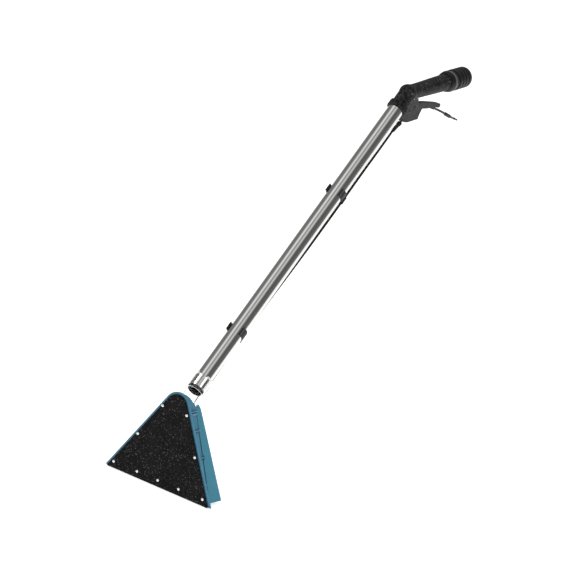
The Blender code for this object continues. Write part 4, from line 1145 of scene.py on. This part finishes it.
@dataclass
class TriggerValve:
    """The housing under the bend, its lever, and the valve with its pipes."""

    outlet: Axis
    edge: float = 0.6

    def build(self) -> None:
        """Builds the housing, the lever and the valve."""
        for side in ("left", "right"):
            node = f"housing_{side}"
            stand_in(f"valve_shell_{side}", node, refined(node, self.edge, 30.0), finish=HOUSING)
        lever = refined("trigger_lever", 0.8, 30.0)
        stand_in("finger_lever", "trigger_lever", lever, Body.TRIGGER, HOUSING)
        stand_in("pivot_pin", "lever_pin", refined("lever_pin", 0.3, 40.0))
        stand_in("shell_screw", "housing_screw", refined("housing_screw", 0.2, 40.0))
        stand_in("valve_barrel", "valve_body", refined("valve_body", 0.2, 40.0))
        stand_in("push_stem", "valve_plunger", refined("valve_plunger", 0.2, 40.0), Body.PLUNGER)
        dark = FINISHES["spring_steel"]
        stand_in("outlet_tail", "outlet_pipe", refined("outlet_pipe", 0.15, 50.0), finish=dark)
        stand_in("inlet_tube", "inlet_pipe", refined("inlet_pipe", 0.15, 50.0))
        stand_in("outlet_hex_nut", "outlet_nut", self.nut_mesh())
        stand_in("outlet_crimp", "outlet_ferrule", self.crimp_mesh())
        spring = stand_in("return_spring", "valve_spring", refined("valve_spring", 0.02, 80.0))
        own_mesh(spring)

    def nut_mesh(self) -> bmesh.types.BMesh:
        """Returns the nut at the outlet."""
        profile = ((5.0, 2.8), (5.0, 5.2), (5.5, 5.8), (12.6, 5.8), (14.0, 5.0), (14.0, 2.8))
        rings = [
            self.outlet.ring(station, radius)
            for station, radius in profile
        ]
        return soften(lofted(rings, 12, hollow=True), 0.15, 28.0)

    def crimp_mesh(self) -> bmesh.types.BMesh:
        """Returns the crimped ferrule on the outlet hose."""
        profile = [(16.5, 3.05), (16.5, 4.1), (17.2, 4.6)]
        for first in (20.0, 25.4, 30.8):
            profile += groove(first, 2.4, 0.6, 4.6, 3.9)
        profile += [(35.2, 4.6), (36.0, 4.1), (36.0, 3.05)]
        return soften(turned(self.outlet, profile, 48, hollow=True), 0.18, 30.0)


@dataclass
class InletTail:
    """The short hose tail at the inlet, with its ferrule and plug."""

    inlet: Axis
    radius: float = 2.75
    tail_drop: float = math.radians(16.0)
    plug_drop: float = math.radians(13.5)

    def build(self) -> None:
        points = [self.inlet.place(17.3), *self.rest()]
        route = smooth_route(points, 8)
        nut = stand_in("inlet_collar", "inlet_nut", self.nut_mesh())
        tail = lofted(route_rings(route, self.radius), 24)
        hose = stand_in("inlet_hose_tail", "inlet_hose", tail)
        ferrule = stand_in("inlet_crimp", "inlet_ferrule", self.crimp_mesh(points[-1]))
        plug = stand_in("quick_plug", "inlet_plug", self.plug_mesh(points[-1]))
        length = sum((after - before).length for before, after in zip(route, route[1:]))
        2 * self.radius * MM
        LOG.info("inlet hose is %.1f mm long past %s", length / MM, nut.name)

    def rest(self) -> list[Vector]:
        """Returns the points of the tail past the inlet's nut."""
        origin = self.inlet.start
        steps = ((27.0, -6.3), (44.0, -10.4), (62.0, -15.1), (79.0, -20.1))
        return [origin + Vector((0.0, back * MM, rise * MM)) for back, rise in steps]

    def line(self, start: Vector, drop: float) -> Axis:
        """Returns an axis that runs back and down from a point."""
        return Axis(start, Vector((0.0, math.cos(drop), -math.sin(drop))))

    def nut_mesh(self) -> bmesh.types.BMesh:
        """Returns the knurled collar where the hose joins the pipe."""
        profile = [(0.3, 1.6), (0.3, 3.6), (1.2, 4.2)]
        for first in (3.0, 6.0, 9.0):
            profile += groove(first, 1.7, 0.5, 4.2, 3.7)
        profile += [(13.6, 4.2), (17.0, 3.5)]
        return soften(turned(self.inlet, profile, 48), 0.15, 30.0)

    def crimp_mesh(self, start: Vector) -> bmesh.types.BMesh:
        """Returns the crimped ferrule at the tail's end."""
        profile = [(0.6, 3.4), (1.6, 4.4)]
        for first in (5.0, 11.0, 17.0):
            profile += groove(first, 2.8, 0.7, 4.4, 3.7)
        profile += [(27.0, 4.4), (30.0, 3.2)]
        return soften(turned(self.line(start, self.tail_drop), profile, 48), 0.2, 30.0)

    def plug_mesh(self, end: Vector) -> bmesh.types.BMesh:
        """Returns the plug of a quick connector, with its ball groove."""
        start = self.line(end, self.tail_drop).place(30.0)
        profile = [
            (0.6, 2.4),
            (1.4, 2.7),
            (13.6, 2.7),
            (14.6, 2.0),
            (21.6, 2.0),
            (22.4, 2.5),
            (23.2, 2.8),
            (26.8, 2.8),
            (28.0, 2.1),
            (40.6, 2.1),
            (42.2, 1.8),
            (43.0, 1.4),
        ]
        return soften(turned(self.line(start, self.plug_drop), profile, 40), 0.15, 30.0)


# Stage


@dataclass(frozen=True)
class Floor:
    """A plain pale floor under the wand."""

    height: float
    half: float = 40.0
    glow: float = 0.62

    def build(self) -> None:
        """Lays the floor."""
        mesh = bmesh.new()
        place = Matrix.Translation((0.0, 0.0, self.height - 0.0006))
        bmesh.ops.create_grid(mesh, x_segments=1, y_segments=1, size=self.half, matrix=place)
        data = bpy.data.meshes.new("studio_floor")
        mesh.to_mesh(data)
        mesh.free()
        material = bpy.data.materials.new("studio_floor_pale")
        material.use_nodes = True
        graph = Graph(material.node_tree)
        shader = material.node_tree.nodes["Principled BSDF"]
        tone = graph.noise(3.0, graph.place(), 2.0)
        graph.feed(
            shader.inputs["Base Color"],
            graph.blend(tone, paint(0.9, 0.9, 0.9), paint(0.92, 0.92, 0.92)),
        )
        shader.inputs["Roughness"].default_value = 0.9
        shader.inputs["Specular IOR Level"].default_value = 0.0
        shader.inputs["Emission Color"].default_value = paint(1.0, 1.0, 1.0)
        shader.inputs["Emission Strength"].default_value = self.glow
        data.materials.append(material)
        floor = bpy.data.objects.new("studio_floor", data)
        bpy.context.scene.collection.objects.link(floor)


@dataclass(frozen=True)
class Studio:
    """Soft light all round, and long strip boxes that polished metal shows."""

    tube: Axis
    ambient: float = 0.85
    strips: Profile = (
        (0.0, 0.3),
        (0.03, 0.62),
        (0.12, 0.36),
        (0.2, 0.19),
        (0.28, 0.2),
        (0.32, 0.42),
        (0.352, 1.0),
        (0.385, 0.86),
        (0.432, 0.2),
        (0.47, 0.74),
        (0.51, 0.62),
        (0.545, 0.14),
        (0.6, 0.115),
        (0.67, 0.14),
        (0.74, 0.24),
        (0.82, 0.46),
        (0.88, 0.8),
        (0.92, 0.62),
        (0.95, 0.24),
        (0.98, 0.2),
    )

    def build(self) -> None:
        """Makes the world and the key light."""
        world = bpy.data.worlds.new("soft_studio")
        bpy.context.scene.world = world
        world.use_nodes = True
        graph = Graph(world.node_tree)
        world.node_tree.nodes.clear()
        direction = graph.out(graph.add("ShaderNodeTexCoord"), "Generated")
        facing = StudioCamera().toward
        first = (facing - self.tube.direction * facing.dot(self.tube.direction)).normalized()
        second = self.tube.direction.cross(first)
        dots = []
        for vector in (first, second):
            inputs = {0: direction, 1: tuple(vector)}
            node = graph.add("ShaderNodeVectorMath", {"operation": "DOT_PRODUCT"}, inputs)
            dots.append(graph.out(node, "Value"))
        turn = dots[1].turn_from(dots[0]) / (2.0 * math.pi) + 0.5
        strips = graph.ramp(turn, self.strips) * 1.3
        path = graph.add("ShaderNodeLightPath")
        shine = graph.out(path, "Is Glossy Ray")
        seen = graph.out(path, "Is Camera Ray")
        soft = self.ambient + (1.0 - self.ambient) * seen
        level = strips * shine + soft * (1.0 - shine)
        background = graph.add("ShaderNodeBackground", inputs={"Strength": level})
        output = graph.add("ShaderNodeOutputWorld")
        world.node_tree.links.new(background.outputs[0], output.inputs[0])
        self.add_softbox("key_softbox", Vector((-2.6, -2.8, 3.2)), 2.4, 60.0)
        self.add_softbox("side_softbox", Vector((3.4, -0.6, 2.2)), 2.0, 26.0)

    def add_softbox(self, name: str, place: Vector, size: float, power: float) -> None:
        """Adds a square area light that faces the wand."""
        data = bpy.data.lights.new(name, "AREA")
        data.shape = "SQUARE"
        data.size = size
        data.energy = power
        lamp = bpy.data.objects.new(name, data)
        lamp.location = place
        aim = Vector((0.0, -0.4, -0.45)) - place
        lamp.rotation_euler = aim.to_track_quat("-Z", "Y").to_euler()
        lamp.visible_glossy = False
        bpy.context.scene.collection.objects.link(lamp)


@dataclass(frozen=True)
class StudioCamera:
    """A long lens, a little above the wand and turned a little about its own axis."""

    azimuth: float = math.radians(28.54)
    elevation: float = math.radians(13.49)
    roll: float = math.radians(14.05)
    distance: float = 7.5
    lens: float = 206.7
    target: tuple[float, float, float] = (-0.0003, -0.4323, -0.4628)

    @property
    def toward(self) -> Vector:
        """The direction from the target to the camera."""
        flat = math.cos(self.elevation)
        across, back = math.sin(self.azimuth) * flat, -math.cos(self.azimuth) * flat
        return Vector((across, back, math.sin(self.elevation)))

    def build(self) -> None:
        """Makes the camera and gives it to the scene."""
        right = Vector((math.cos(self.azimuth), math.sin(self.azimuth), 0.0))
        up = self.toward.cross(right)
        turned_right = right * math.cos(self.roll) + up * math.sin(self.roll)
        turned_up = up * math.cos(self.roll) - right * math.sin(self.roll)
        columns = Matrix((turned_right, turned_up, self.toward)).transposed().to_4x4()
        data = bpy.data.cameras.new("studio_camera")
        data.lens = self.lens
        data.sensor_width = 36.0
        data.clip_end = 100.0
        camera = bpy.data.objects.new("studio_camera", data)
        stand = Vector(self.target) + self.toward * self.distance
        camera.matrix_world = Matrix.Translation(stand) @ columns
        bpy.context.scene.collection.objects.link(camera)
        bpy.context.scene.camera = camera


def wand_axes() -> dict[str, Axis]:
    """Returns the axes that the wand's round pieces stand on, read from the frame."""
    tube = Axis.through(middle("tube_seal"), middle("handle_seal"), 38.2)
    cuff = next(joint for joint in frame["joints"] if joint["name"] == "cuff_swivel")
    grip_direction = Vector(cuff["axis"]).normalized()
    grip = Axis(tube.place(Handle.bend), grip_direction)
    nut_low, nut_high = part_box("outlet_nut")
    outlet_drop = math.radians(36.0)
    outlet_direction = Vector((0.0, -math.cos(outlet_drop), -math.sin(outlet_drop)))
    outlet = Axis((nut_low + nut_high) / 2 - outlet_direction * 9.5 * MM, outlet_direction)
    inlet_drop = math.radians(13.0)
    inlet_direction = Vector((0.0, math.cos(inlet_drop), -math.sin(inlet_drop)))
    inlet = Axis(Vector((0.0, 36.0, -50.8)) * MM, inlet_direction)
    tilt = math.radians(65.0)
    barb_direction = Vector((0.0, math.sin(tilt), math.cos(tilt)))
    barb = Axis(Vector((0.0, -758.0, -745.0)) * MM, barb_direction)
    return {"tube": tube, "grip": grip, "outlet": outlet, "inlet": inlet, "barb": barb}


def main() -> None:
    """Builds the wand, its stage and its camera."""
    logging.basicConfig(level=logging.INFO, format="%(name)s %(message)s")
    axes = wand_axes()
    StudioCamera().build()
    assemblies = (
        InletTail(axes["inlet"]),
        SuctionHead(),
        SprayHood(),
        NeckAndTube(axes["tube"]),
        HoseRun(axes["tube"], axes["barb"], axes["outlet"]),
        Handle(axes["tube"], axes["grip"]),
        TriggerValve(axes["outlet"]),
    )
    for assembly in assemblies:
        assembly.build()
        LOG.info("built %s", type(assembly).__name__)
    Floor(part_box("rear_lip")[0].z).build()
    Studio(axes["tube"]).build()
    bpy.context.scene.view_settings.view_transform = "Standard"


if __name__ == "__main__":
    main()
